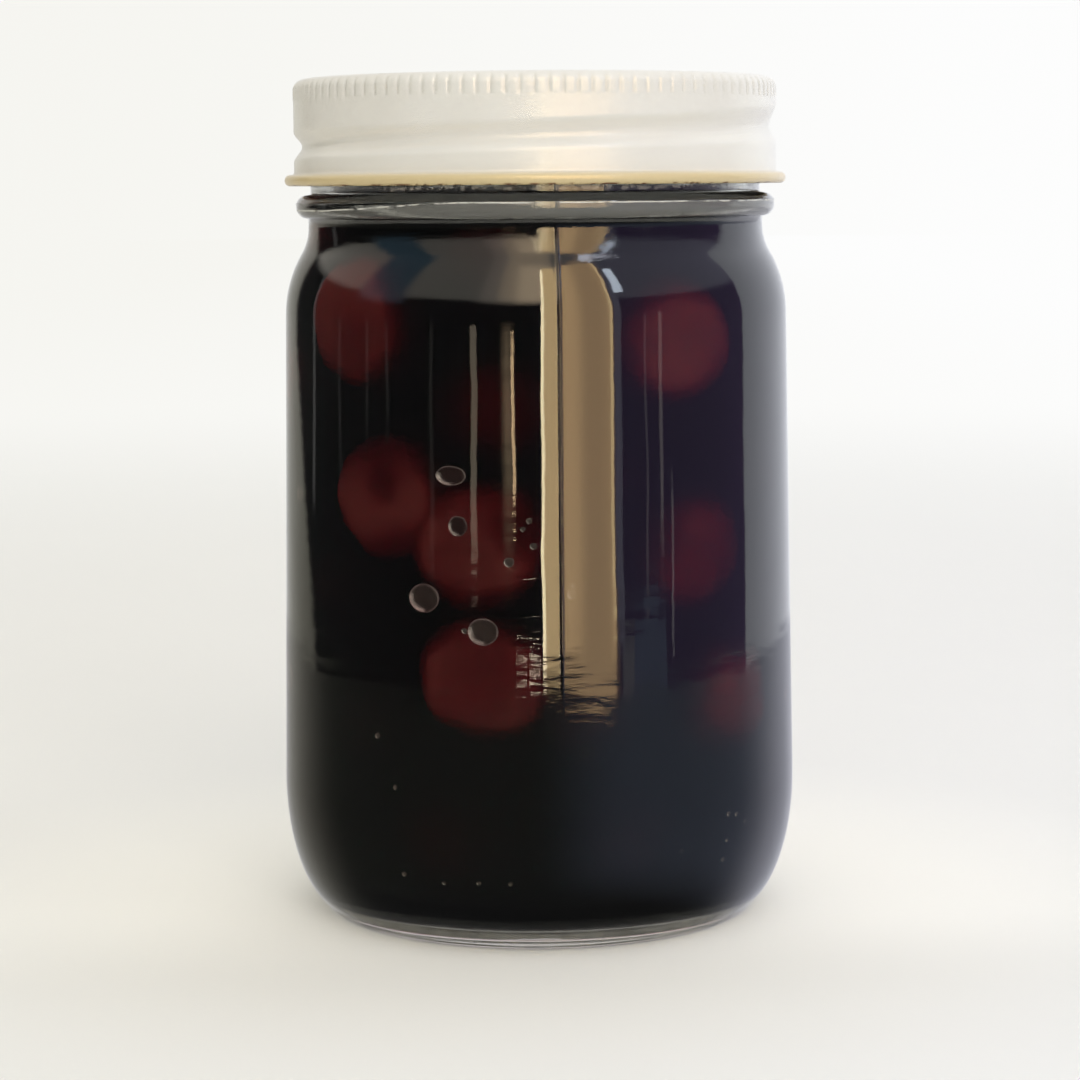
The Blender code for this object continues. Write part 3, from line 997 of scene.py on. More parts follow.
@dataclass(frozen=True)
class GlassJar:
    """The jar's glass: thick base, mould seams, gentle ripples, bead and threaded neck."""

    shape: JarShape
    thread: Thread
    syrup_top: float
    columns: int = 216
    seam_deg: tuple[float, ...] = (5.1, 185.1)
    seam_depth: float = 0.09 * MM
    seam_half_width_deg: float = 0.30
    seam_fades: Point = (34.0 * MM, 44.0 * MM)
    parting_z: float = 106.8 * MM
    parting_depth: float = 0.12 * MM
    parting_half_width: float = 0.14 * MM
    # Waves in a turn, height and phase
    parting_waves: tuple[tuple[float, float, float], ...] = (
        (1, 0.15 * MM, 0.9),
        (3, 0.05 * MM, 2.0),
        (17, 0.03 * MM, 0.4),
        (41, 0.02 * MM, 3.0),
    )
    outer_ripple: Ripple = Ripple(0.030 * MM, 9.0 * MM, 38.0 * MM, 11)
    inner_ripple: Ripple = Ripple(0.05 * MM, 12.0 * MM, 35.0 * MM, 12)

    def angles(self) -> np.ndarray:
        """The columns, closer together at the mould seams."""
        near = (-4, -3, -2, -1.4, -1, -0.7, -0.35, 0, 0.35, 0.7, 1, 1.4, 2, 3, 4)
        extra = [
            math.radians(seam + step * self.seam_half_width_deg)
            for seam in self.seam_deg
            for step in near
        ]
        return around(self.columns, extra)

    def seam(self, angles: np.ndarray) -> np.ndarray:
        """How far the mould seams stand out at each angle."""
        total = np.zeros_like(angles)
        for seam in self.seam_deg:
            away = np.degrees(np.arctan2(
                np.sin(angles - math.radians(seam)), np.cos(angles - math.radians(seam))
            ))
            total += self.seam_depth * np.exp(-((away / self.seam_half_width_deg) ** 2))
        return total

    def parting_line(self, angles: np.ndarray, heights: np.ndarray) -> np.ndarray:
        """How far the line between the mould's upper and lower part stands out on the bead."""
        wander = sum(
            share * np.sin(turns * angles + phase) for turns, share, phase in self.parting_waves
        )
        away = heights - self.parting_z - wander
        rough = 1 + 0.5 * np.sin(23 * angles) * np.sin(61 * angles + 1.0)
        return self.parting_depth * rough * np.exp(-((away / self.parting_half_width) ** 2))

    def build(self, clear: bpy.types.Material, wetted: bpy.types.Material) -> None:
        """Makes the glass, with its own finish where syrup wets the inner wall.

        Args:
            clear: The finish of glass against air.
            wetted: The finish of glass against syrup.
        """
        inside, rim, outside = self.shape.inside(), self.shape.rim(), self.shape.outside()
        profile = inside + rim + outside
        angles = self.angles()
        radii, heights = rings_of(profile, angles)
        first_outer = len(inside) + len(rim)

        inner = slice(1, len(inside))
        still = smooth_step(radii[inner], 0.0, self.shape.contact_outer)
        radii[inner] += self.inner_ripple.height(angles, heights[inner]) * still

        outer = slice(first_outer, len(profile) - 1)
        lifted = smooth_step(heights[outer], 1.0 * MM, 8.0 * MM)
        faint = smooth_step(heights[outer], *self.seam_fades)
        uneven = self.outer_ripple.height(angles, heights[outer]) + self.seam(angles) * faint
        radii[outer] += uneven * lifted
        radii[outer] += self.parting_line(angles, heights[outer])
        on_neck = heights[outer] > self.shape.bead_z + self.shape.bead_half_height
        radii[outer] += self.thread.ridge_height(angles, heights[outer]) * on_neck

        mesh = turned_mesh("glass_body", angles, radii, heights)
        wet_rings = sum(1 for _, z in inside if z < self.syrup_top) - 1
        for polygon in mesh.polygons[: len(angles) * wet_rings]:
            polygon.material_index = 1
        place("glass_body", mesh, (clear, wetted), Slot.GLASS, "glass_jar")


@dataclass(frozen=True)
class Syrup:
    """The dark liquid, which reaches just into the glass wall so that no air gap shows."""

    shape: JarShape
    jar: GlassJar
    top: float
    into_glass: float = 0.008 * MM

    def build(self, against_glass: bpy.types.Material, surface: bpy.types.Material) -> None:
        """Makes the liquid's body.

        Args:
            against_glass: The syrup's finish where it wets the glass.
            surface: Its finish where it meets the air.
        """
        wetted = [p for p in self.shape.inside() if p[1] < self.top]
        wall = [
            (r + self.into_glass if r > 0 else 0.0, z - self.into_glass * (1 if r < 30 * MM else 0))
            for r, z in wetted[::-1]
        ]
        level = [(r, self.top) for r in (0.0, 8 * MM, 16 * MM, 24 * MM, wall[0][0] - 0.4 * MM)]
        profile = level + [(wall[0][0], self.top + 0.3 * MM)] + wall
        angles = self.jar.angles()
        radii, heights = rings_of(profile, angles)
        side = slice(len(level) + 1, len(profile) - 1)
        still = smooth_step(radii[side], 0.0, self.shape.contact_outer)
        radii[side] += self.jar.inner_ripple.height(angles, heights[side]) * still
        mesh = turned_mesh("syrup_body", angles, radii, heights)
        for polygon in mesh.polygons[: len(angles) * len(level)]:
            polygon.material_index = 1
        place("syrup_body", mesh, (against_glass, surface), Slot.SYRUP)


@dataclass(frozen=True)
class CherryHeap:
    """The fruit: some cherries that show at the front, and the rest settled round them."""

    shape: JarShape
    # Angle in degrees, height, and the liquid between the cherry and the glass
    front: tuple[tuple[float, float, float], ...] = (
        (-50.0, 89.5 * MM, 0.5 * MM),
        (-39.0, 65.0 * MM, 0.6 * MM),
        (-14.5, 58.5 * MM, 0.45 * MM),
        (-13.5, 39.5 * MM, 0.1 * MM),
        (-12.0, 77.5 * MM, 1.9 * MM),
        (-14.0, 97.0 * MM, 3.0 * MM),
        (37.0, 86.5 * MM, 0.5 * MM),
        (16.0, 68.0 * MM, 4.5 * MM),
        (42.0, 57.0 * MM, 1.48 * MM),
        (14.0, 35.0 * MM, 3.6 * MM),
        (54.0, 34.8 * MM, 1.5 * MM),
    )
    count: int = 46
    radius: float = 9.7 * MM
    spread: float = 0.5 * MM
    top_z: float = 109.5 * MM
    wall_gap: float = 0.4 * MM
    hidden_depth: float = 4.5 * MM
    front_half_deg: float = 85.0
    sunk_below_z: float = 29.0 * MM
    steps: int = 400
    drift: float = 0.03
    seed: int = 7
    core_radius: float = 22.0 * MM
    core_top: float = 99.0 * MM
    core_facets: int = 20
    # A cherry's form, in shares of its radius and in radians
    plump: float = 0.975
    hollow_depth: float = 0.15
    hollow_width: float = 0.36
    crease_depth: float = 0.022
    crease_width: float = 0.16
    cheek_height: float = 0.02
    # How close together the dents are, and how deep
    dents: tuple[Point, ...] = ((1.7, 0.06), (5.0, 0.014))
    pressed_gap: float = 1.5 * MM
    bulge: float = 1.12
    fullest: float = 1.45
    spread_flat: float = 1.08
    fineness: int = 4

    def reach(self, z: float, radius: float) -> float:
        """How far from the axis a cherry's middle may be at a height, so that it fits."""
        slopes = [math.radians(a) for a in range(-60, 61, 15)]
        return min(
            self.shape.inner_radius(z + radius * math.sin(a)) - radius * math.cos(a)
            for a in slopes
        )

    def settled(self) -> tuple[np.ndarray, np.ndarray]:
        """The middle and radius of each cherry, once they have pushed each other apart."""
        rng = random.Random(self.seed)
        radii = np.array(
            [self.radius + rng.uniform(-self.spread, self.spread) for _ in range(self.count)]
        )
        placed = len(self.front)
        depths = np.empty(self.count)
        middles = np.empty((self.count, 3))
        for i in range(self.count):
            if i < placed:
                angle_deg, z, depths[i] = self.front[i]
            else:
                angle_deg = rng.uniform(-180, 180)
                z = rng.uniform(self.shape.floor_z + radii[i], self.top_z - radii[i])
                depths[i] = rng.choice((self.wall_gap, 1.2 * MM, 2.4 * MM))
            reach = self.reach(z, radii[i]) - depths[i]
            reach *= 1.0 if i < placed else math.sqrt(rng.random())
            turn = math.radians(angle_deg)
            middles[i] = (reach * math.sin(turn), -reach * math.cos(turn), z)
        for _ in range(self.steps):
            push = np.zeros_like(middles)
            for i in range(self.count):
                apart = middles[i] - middles
                distance = np.maximum(np.linalg.norm(apart, axis=1), 1e-9)
                overlap = np.maximum(radii[i] + radii - distance, 0.0)
                overlap[i] = 0.0
                push[i] = (apart / distance[:, None] * overlap[:, None]).sum(axis=0) / 2
            middles[placed:] += push[placed:]
            middles[placed:, :2] *= 1 + self.drift
            for i in range(placed, self.count):
                self.hold_inside(middles, radii, depths, i)
        return middles, radii

    def hold_inside(
        self, middles: np.ndarray, radii: np.ndarray, depths: np.ndarray, i: int
    ) -> None:
        """Moves one cherry back inside the glass, and deeper where none shows.

        Args:
            middles: The cherries' middles, changed in place.
            radii: Their radii.
            depths: The liquid that each keeps between itself and the glass.
            i: The cherry's number.
        """
        x, y, z = middles[i]
        low = self.shape.floor_centre_z + radii[i] + self.wall_gap
        z = min(max(z, low), self.top_z - radii[i])
        facing_front = abs(math.degrees(math.atan2(x, -y))) < self.front_half_deg
        hidden = facing_front or z < self.sunk_below_z
        depth = max(depths[i], self.hidden_depth) if hidden else depths[i]
        reach = max(self.reach(z, radii[i]) - depth, 0.0)
        scale = min(1.0, reach / max(math.hypot(x, y), 1e-9))
        middles[i] = (x * scale, y * scale, z)

    def cherry(
        self, ball: np.ndarray, radius: float, middle: np.ndarray, rng: random.Random
    ) -> np.ndarray:
        """The points of one cherry: a lopsided ball with a stem hollow, a crease and dents.

        Args:
            ball: The points of a ball of radius 1.
            radius: The cherry's radius.
            middle: Its middle.
            rng: Where its shape is drawn from.

        Returns:
            The points in place.
        """
        lean = Euler([rng.uniform(0, 2 * math.pi) for _ in range(3)]).to_matrix()
        from_stem = np.arccos(np.clip(ball[:, 2], -1, 1))
        round_stem = np.arctan2(ball[:, 1], ball[:, 0])
        hollow = self.hollow_depth * np.exp(-((from_stem / self.hollow_width) ** 2))
        crease = self.crease_depth * np.exp(-((round_stem / self.crease_width) ** 2))
        cheeks = self.cheek_height * np.cos(2 * round_stem)
        offset = Vector([rng.uniform(-50, 50) for _ in range(3)])
        dents = np.array([
            sum(noise.noise(Vector(p) * near + offset) * deep for near, deep in self.dents)
            for p in ball
        ])
        size = radius * (self.plump - hollow + (cheeks - crease) * np.sin(from_stem) + dents)
        turned = (ball * size[:, None]) @ np.array(lean).T
        return self.pressed(turned, radius, middle) + middle

    def pressed(self, points: np.ndarray, radius: float, middle: np.ndarray) -> np.ndarray:
        """Fills out the side of a cherry that faces the glass, as soft fruit lies against it.

        Args:
            points: The cherry's points from its middle.
            radius: Its radius.
            middle: Its middle.

        Returns:
            The points from its middle, none of them further out than before at the tip.
        """
        out = np.array((middle[0], middle[1], 0.0)) / max(math.hypot(*middle[:2]), 1e-9)
        side = np.array((-out[1], out[0], 0.0))
        if math.hypot(*middle[:2]) < self.reach(middle[2], radius) - self.pressed_gap:
            return points
        toward = points @ out
        across = np.linalg.norm(points - toward[:, None] * out, axis=1) / radius
        across = np.clip(across, 0.0, 0.97)
        fuller = np.minimum(np.cbrt(1 - across**3) / np.sqrt(1 - across**2), self.fullest)
        bulged = toward * np.where(toward > 0, fuller * self.bulge, 1.0)
        spread = points + (self.spread_flat - 1) * (points - toward[:, None] * out)
        heights = spread[:, 2] + middle[2]
        room = np.interp(heights, *self.wall_table()) - self.wall_gap
        beside = (spread + middle) @ side
        limit = np.sqrt(np.maximum(room**2 - beside**2, 0.0)) - middle @ out
        return spread + (np.minimum(bulged, limit) - toward)[:, None] * out

    def wall_table(self) -> tuple[np.ndarray, np.ndarray]:
        """Heights, and the glass's inner radius at each."""
        heights = np.linspace(self.shape.floor_z, self.shape.rim_z, 200)
        return heights, np.array([self.shape.inner_radius(z) for z in heights])

    def core(self) -> tuple[np.ndarray, list]:
        """The points and faces of the plain core that the cherries lie on."""
        foot = self.shape.floor_centre_z + self.wall_gap
        wide, narrow, top_edge = self.core_radius, 0.8 * self.core_radius, 0.7 * self.core_radius
        profile = [(0.0, self.core_top), (top_edge, self.core_top)]
        profile += [(wide, self.core_top - 0.4 * wide), (wide, foot + 0.3 * wide)]
        profile += [(narrow, foot), (0.0, foot)]
        angles = np.arange(self.core_facets) * 2 * math.pi / self.core_facets
        radii, heights = rings_of(profile, angles)
        mesh = turned_mesh("core", angles, radii, heights)
        points = np.array([v.co for v in mesh.vertices])
        faces = [tuple(f.vertices) for f in mesh.polygons]
        bpy.data.meshes.remove(mesh)
        return points, faces

    def build(self, finish: bpy.types.Material) -> None:
        """Makes all the cherries and the core that they lie on as one piece.

        Args:
            finish: The skin's material.
        """
        ball, faces = unit_ball(self.fineness)
        rng = random.Random(self.seed + 1)
        middles, radii = self.settled()
        parts = [
            (self.cherry(ball, radius, middle, rng), faces)
            for middle, radius in zip(middles, radii)
        ]
        parts.append(self.core())
        mesh = joined_mesh("cherries_in_syrup", parts)
        place("cherries_in_syrup", mesh, (finish,), Slot.SKIN, "cherries")


@dataclass(frozen=True)
class Bubbles:
    """Air bubbles that cling to the inside of the glass, specks near it, and foam on top."""

    shape: JarShape
    syrup_top: float
    # Angle in degrees, height, half width, half height, and how much lighter its inside is painted
    large: tuple[tuple[float, float, float, float, float], ...] = (
        (-19.7, 68.7 * MM, 2.2 * MM, 1.4 * MM, 0.12),
        (-18.1, 61.6 * MM, 1.35 * MM, 1.45 * MM, 0.08),
        (-26.4, 51.2 * MM, 2.3 * MM, 2.05 * MM, 0.45),
        (-12.4, 46.7 * MM, 2.15 * MM, 1.95 * MM, 0.5),
        (-16.6, 46.8 * MM, 0.40 * MM, 0.40 * MM, 1.0),
        (-6.4, 56.6 * MM, 0.70 * MM, 0.70 * MM, 0.5),
        (-0.9, 58.9 * MM, 0.50 * MM, 0.50 * MM, 1.0),
        (-1.8, 62.5 * MM, 0.42 * MM, 0.42 * MM, 1.0),
        (-3.2, 61.3 * MM, 0.36 * MM, 0.36 * MM, 1.0),
        (7.5, 52.0 * MM, 0.65 * MM, 0.62 * MM, 1.0),
        (8.0, 53.3 * MM, 0.30 * MM, 0.34 * MM, 1.0),
        (-38.9, 30.8 * MM, 0.42 * MM, 0.42 * MM, 1.0),
    )
    specks: tuple[tuple[float, float], ...] = (
        (-34.0, 23.6 * MM),
        (-32.0, 11.2 * MM),
        (-22.0, 10.5 * MM),
        (-13.8, 10.8 * MM),
        (-6.6, 10.8 * MM),
        (50.2, 18.0 * MM),
        (47.5, 18.3 * MM),
        (47.0, 14.6 * MM),
        (53.5, 16.6 * MM),
        (33.5, 14.2 * MM),
        (46.0, 11.8 * MM),
    )
    depth_share: float = 0.8
    flattened: float = 0.14
    # Painted highlight: the side of each bubble that gets a bright painted crescent
    painted_glint_side: Point = (-0.8, -0.6)
    gap: float = 0.05 * MM
    speck_radius: float = 0.30 * MM
    foam_count: int = 380
    foam_radius: float = 0.36 * MM
    foam_deep: float = 0.3 * MM
    # Painted glints: the share of foam bubbles that get a bright painted rim
    foam_glint_share: float = 0.5
    unseen_count: int = 26
    unseen_half_deg: float = 70.0
    seed: int = 21

    def one(
        self, ball: np.ndarray, angle_deg: float, z: float, half_width: float, half_height: float
    ) -> np.ndarray:
        """The points of one bubble, pressed flat against the wall.

        Args:
            ball: The points of a ball of radius 1.
            angle_deg: Its angle round the jar.
            z: Its height.
            half_width: Half its width along the wall.
            half_height: Half its height.

        Returns:
            The points in place.
        """
        turn = math.radians(angle_deg)
        out = np.array((math.sin(turn), -math.cos(turn), 0.0))
        side = np.array((math.cos(turn), math.sin(turn), 0.0))
        up = np.array((0.0, 0.0, 1.0))
        half_depth = self.depth_share * min(half_width, half_height)
        against = self.flattened * half_depth
        middle = out * (self.shape.inner_radius(z) - against - self.gap) + up * z
        depths = np.where(ball[:, :1] > 0, against, half_depth)
        stretched = (
            ball[:, :1] * depths * out
            + ball[:, 1:2] * half_width * side
            + ball[:, 2:] * half_height * up
        )
        return stretched + middle

    def painted_glint(self, ball: np.ndarray) -> np.ndarray:
        """How brightly each point of a bubble's skin is painted with a highlight: a crescent below
        and a thin rim.
        """
        from_middle = np.hypot(ball[:, 1], ball[:, 2])
        toward = (ball[:, 1:] @ np.array(self.painted_glint_side)) / np.maximum(from_middle, 1e-9)
        crescent = smooth_step(from_middle, 0.58, 0.86) * smooth_step(toward, 0.35, 0.9)
        thin = smooth_step(from_middle, 0.86, 0.97) * 0.3
        return np.maximum(crescent, thin)

    def build(self, finish: bpy.types.Material) -> None:
        """Makes all the bubbles as one piece.

        Args:
            finish: The bubbles' material.
        """
        rng = random.Random(self.seed)
        ball, faces = unit_ball(4)
        parts = [(self.one(ball, *bubble[:4]), faces) for bubble in self.large]
        painted_glints = [self.painted_glint(ball)] * len(parts)
        painted_insides = [np.full(len(ball), bubble[4]) for bubble in self.large]
        small, small_faces = unit_ball(3)
        spots = list(self.specks)
        for _ in range(self.unseen_count):
            angle_deg = rng.uniform(self.unseen_half_deg, 360 - self.unseen_half_deg)
            spots.append((angle_deg, rng.uniform(8 * MM, 84 * MM)))
        for i, (angle_deg, z) in enumerate(spots):
            growth = 1.0 if i < len(self.specks) else 1 + 5 * rng.random() ** 4
            half = self.speck_radius * growth * rng.uniform(0.8, 1.2)
            parts.append((self.one(small, angle_deg, z, half, half), small_faces))
            painted_glints.append(self.painted_glint(small))
            painted_insides.append(np.ones(len(small)))
        tiny, tiny_faces = unit_ball(2)
        for i in range(self.foam_count):
            angle_deg = 360 * (i + rng.random()) / self.foam_count
            z = self.syrup_top + rng.uniform(0, self.foam_deep)
            half = self.foam_radius * rng.uniform(0.4, 1.5)
            parts.append((self.one(tiny, angle_deg, z, half, 0.6 * half), tiny_faces))
            painted_glints.append(np.full(len(tiny), float(rng.random() < self.foam_glint_share)))
            painted_insides.append(np.full(len(tiny), rng.random()))
        mesh = joined_mesh("air_bubbles", parts)
        # Painted light on each point: its glint and how much lighter its inside is
        for name, values in (("rim", painted_glints), ("cloud", painted_insides)):
            layer = mesh.attributes.new(name, "FLOAT", "POINT")
            layer.data.foreach_set("value", np.concatenate(values))
        place("air_bubbles", mesh, (finish,), Slot.GLASS)


@dataclass(frozen=True)
class ScrewLid:
    """The lid: thin sheet with a stepped top, a knurled edge, a rolled thread and a curl."""

    thread: Thread
    top_z: float = 125.0 * MM
    radius: float = 36.0 * MM
    sheet: float = 0.4 * MM
    corner: float = 1.7 * MM
    panel_radius: float = 28.0 * MM
    panel_step: float = 0.5 * MM
    panel_arc: float = 0.25 * MM
    skirt_end: float = 111.3 * MM
    curl_radius: float = 36.6 * MM
    curl_z: float = 110.1 * MM
    curl: float = 0.85 * MM
    thread_top: float = 120.8 * MM
    knurls: int = 112
    knurl_depth: float = 0.26 * MM
    knurl_half_width_share: float = 0.13
    knurl_bottom: float = 121.9 * MM
    facet_bulge: float = 0.05 * MM

    def profile(self) -> tuple[list[Point], list[Point], list[Point]]:
        """The lid's section: its top and skirt, its curl, and its inside."""
        centre = (self.radius - self.corner, self.top_z - self.corner)
        panel_top = self.top_z - self.panel_step
        step_end = self.panel_radius + self.panel_step
        outside = [(share * self.panel_radius, panel_top) for share in (0, 0.25, 0.5, 0.75, 0.96)]
        outside += arc((self.panel_radius, panel_top + self.panel_arc), self.panel_arc, -90, -10, 4)
        outside += arc((step_end, self.top_z - self.panel_arc), self.panel_arc, 170, 90, 4)
        outside += [(31.0 * MM, self.top_z), (33.0 * MM, self.top_z)]
        outside += arc(centre, self.corner, 90, 0, 14)
        low = self.knurl_bottom
        outside += [(self.radius, z) for z in (low + 0.4 * MM, low + 0.12 * MM, low - 0.06 * MM)]
        outside += [(self.radius, z) for z in np.linspace(low - 0.3 * MM, self.skirt_end, 44)]
        curl = arc((self.curl_radius, self.curl_z), self.curl, 118, -180, 22)
        inner = self.radius - self.sheet
        inside = [(inner, z) for z in np.linspace(self.skirt_end, self.thread_top, 20)]
        inside += arc(centre, self.corner - self.sheet, 0, 90, 5)
        under = panel_top - self.sheet
        inside += [(step_end, self.top_z - self.sheet), (self.panel_radius, under)]
        inside += [(self.panel_radius * 0.5, under), (0.0, under)]
        return outside, curl, inside

    def angles(self) -> np.ndarray:
        """Six columns for each knurl, three of them in its notch."""
        pitch = 2 * math.pi / self.knurls
        shares = (0.0, self.knurl_half_width_share, 0.3, 0.5, 0.7, 1 - self.knurl_half_width_share)
        return np.array([(i + share) * pitch for i in range(self.knurls) for share in shares])

    def knurl(self, angles: np.ndarray, heights: np.ndarray) -> np.ndarray:
        """How far the knurled edge is pressed in at each angle and height.

        Args:
            angles: Angles round the lid, in radians.
            heights: Heights of the same points.

        Returns:
            The depths, in metres. They are below zero where a facet bulges.
        """
        share = np.mod(angles * self.knurls / (2 * math.pi), 1.0)
        from_notch = np.minimum(share, 1 - share)
        notch = self.knurl_depth * (1 - smooth_step(from_notch, 0.0, self.knurl_half_width_share))
        bulge = self.facet_bulge * np.sin(np.clip(from_notch * 2, 0, 1) * math.pi / 2)
        band = smooth_step(heights, self.knurl_bottom, self.knurl_bottom + 0.15 * MM)
        band = band * (1 - smooth_step(heights, self.top_z - 0.75 * MM, self.top_z - 0.25 * MM))
        return band * (notch - bulge)

    def build(self, finish: bpy.types.Material) -> None:
        """Makes the lid.

        Args:
            finish: The enamel.
        """
        outside, curl, inside = self.profile()
        profile = outside + curl + inside
        angles = self.angles()
        radii, heights = rings_of(profile, angles)
        depth = self.thread.groove(angles, heights)
        ends = smooth_step(heights, self.skirt_end, self.skirt_end + 0.6 * MM)
        ends = ends * (1 - smooth_step(heights, self.thread_top - 0.6 * MM, self.thread_top))
        skirt = radii > self.radius - 2 * self.sheet
        skirt[len(outside): len(outside) + len(curl)] = False
        radii -= depth * ends * skirt
        edge = slice(0, len(outside))
        radii[edge] -= self.knurl(angles, heights[edge]) * (radii[edge] > 33.5 * MM)
        mesh = turned_mesh("lid_cap", angles, radii, heights)
        place("lid_cap", mesh, (finish,), Slot.ENAMEL, "screw_lid")


@dataclass(frozen=True)
class Pane:
    """A lit patch of the room round the studio, which the glass mirrors.

    Angles are in degrees: azimuth from the front towards +X, elevation above the horizon.
    """

    azimuth: Point
    elevation: Point
    light: Colour
    soft: float = 0.7


@dataclass(frozen=True)
class Lamp:
    """A square softbox that faces the jar and isn't mirrored."""

    name: str
    at: tuple[float, float, float]
    size: float
    watts: float
    colour: Colour

    def build(self) -> None:
        """Hangs the lamp."""
        light = bpy.data.lights.new(self.name, "AREA")
        light.shape = "SQUARE"
        light.size = self.size
        light.energy = self.watts
        light.color = self.colour
        lamp = bpy.data.objects.new(self.name, light)
        lamp.location = self.at
        aim = Vector(LAMPS_AIM_AT) - Vector(self.at)
        lamp.rotation_euler = aim.to_track_quat("-Z", "Y").to_euler()
        lamp.visible_glossy = False
        lamp.visible_camera = False
        lamp.visible_transmission = False
        bpy.context.scene.collection.objects.link(lamp)


@dataclass(frozen=True)
class Studio:
    """The pale floor, the room that the glass mirrors, the soft lamps and the camera."""

    backdrop_left: Colour = (0.92, 0.915, 0.875)
    backdrop_right: Colour = (0.98, 0.982, 0.98)
    backdrop_across: Point = (-0.18, 0.18)
    turns_right: Point = (-6.0, 46.0)
    right_side: Point = (-0.9, 0.9)
    ambient_left: Colour = (0.48, 0.465, 0.42)
    ambient_right: Colour = (0.64, 0.65, 0.67)
    dark_left: Colour = (0.03, 0.03, 0.03)
    dark_right: Colour = (0.26, 0.19, 0.40)
    ceiling_left: Colour = (0.95, 0.90, 0.80)
    ceiling_right: Colour = (0.72, 0.70, 0.95)
    ceiling_from: float = 16.0
    table_left: Colour = (0.10, 0.10, 0.085)
    table_right: Colour = (0.38, 0.43, 0.58)
    table_far_left: Colour = (0.48, 0.46, 0.38)
    table_far_right: Colour = (0.88, 0.90, 1.05)
    table_turns: tuple[Point, ...] = ((-98.0, -148.0), (95.0, 135.0))
    table_near: Colour = (0.10, 0.10, 0.10)
    table_nears: Point = (-22.0, -50.0)
    table_from: float = -7.7
    sweep_slant: float = 3.9
    sweep_level: float = -2.2
    sweep_left: Colour = (0.55, 0.53, 0.43)
    sweep_right: Colour = (1.33, 1.37, 1.52)
    sweep_from: Point = (-138.5, 106.0)
    sweep_soft: Point = (-7.0, 2.0)
    panes: tuple[Pane, ...] = (
        # Dark and bright parts of the ceiling, which the shoulder mirrors
        Pane((-90.0, -64.0), (14.0, 80.0), (0.25, 0.42, 0.55), 8.0),
        Pane((-26.0, 8.0), (18.0, 66.0), (1.6, 1.4, 1.2), 8.0),
        Pane((-17.0, 8.0), (18.0, 60.0), (3.0, 2.4, 1.75), 8.0),
        Pane((-9.0, 8.0), (18.0, 50.0), (5.0, 3.9, 2.7), 8.0),
        # Streaks left of the window, and small lights at its foot
        Pane((-29.6, -26.8), (-5.4, -0.2), (1.9, 1.6, 1.2)),
        Pane((-14.6, -10.8), (-4.0, -0.9), (2.6, 1.9, 1.2), 4.5),
        Pane((-11.0, -9.6), (-4.2, -0.9), (10.0, 7.0, 4.0), 0.5),
        Pane((-9.8, -4.9), (-7.3, -7.1), (11.0, 9.5, 7.0), 0.2),
        Pane((-3.9, 1.0), (-7.3, -7.05), (15.0, 13.0, 9.5), 0.2),
        Pane((-122.4, -119.8), (-5.0, 18.0), (0.30, 0.30, 0.29), 0.8),
        # The window: its frame, a narrow pane, a wide one with a dimmer middle, its other frame
        Pane((2.1, 3.7), (-7.4, 46.0), (19.0, 16.0, 10.3), 0.4),
        Pane((3.5, 9.3), (-7.4, 48.0), (8.6, 6.2, 3.2), 1.2),
        Pane((11.2, 34.4), (-7.4, 50.0), (6.9, 4.6, 2.45), 1.6),
        Pane((19.5, 33.5), (-12.0, 52.0), (4.5, 3.0, 1.7), 8.0),
        Pane((33.2, 34.6), (-6.2, 50.0), (8.5, 6.2, 3.4), 0.5),
        # The dim wall beside the window, with a low shelf in front of it
        Pane((35.2, 38.4), (-6.6, 40.0), (0.9, 0.85, 1.15), 1.2),
        Pane((37.5, 43.5), (-9.0, -6.6), (0.73, 0.71, 0.85), 1.2),
        Pane((43.2, 59.0), (-9.0, -6.35), (0.44, 0.49, 0.76), 0.5),
        Pane((47.5, 55.0), (-9.0, -5.85), (0.44, 0.49, 0.76), 0.5),
        # Two patches of sky
        Pane((37.5, 42.0), (24.0, 44.0), (8.0, 9.0, 10.5), 1.5),
        Pane((28.0, 60.0), (53.0, 55.5), (11.0, 11.5, 13.0), 0.8),
        # Thin streaks to the right and to the left
        Pane((49.3, 50.3), (-6.2, 3.8), (0.75, 0.65, 0.85), 0.7),
        Pane((56.2, 57.8), (-5.2, 5.8), (1.2, 1.05, 1.2), 0.8),
        Pane((62.0, 63.0), (-7.2, -4.2), (1.2, 1.1, 1.3), 0.4),
        Pane((-48.5, -46.9), (-5.7, -0.2), (0.22, 0.21, 0.19), 1.0),
        Pane((-71.6, -70.0), (-3.2, -0.2), (0.22, 0.21, 0.20), 1.0),
        Pane((-83.1, -81.5), (-3.2, -0.2), (0.22, 0.21, 0.20), 1.0),
        Pane((-100.6, -98.9), (-4.2, -0.2), (0.18, 0.17, 0.17), 1.2),
    )
    lamps: tuple[Lamp, ...] = (
        Lamp("key", (0.25, -1.05, 0.75), 0.6, 3.2, (0.98, 1.0, 1.02)),
        Lamp("fill", (1.0, -0.35, 0.55), 0.6, 0.5, (0.92, 0.95, 1.0)),
        Lamp("top", (0.1, -0.15, 1.3), 1.2, 5.0, (1.0, 0.99, 0.97)),
    )
    lens: float = 101.5
    camera_at: tuple[float, float, float] = (0.35 * MM, -460.0 * MM, 109.2 * MM)
    pitch_deg: float = 6.65
    roll_deg: float = 0.42
    floor_radius: float = 6.0

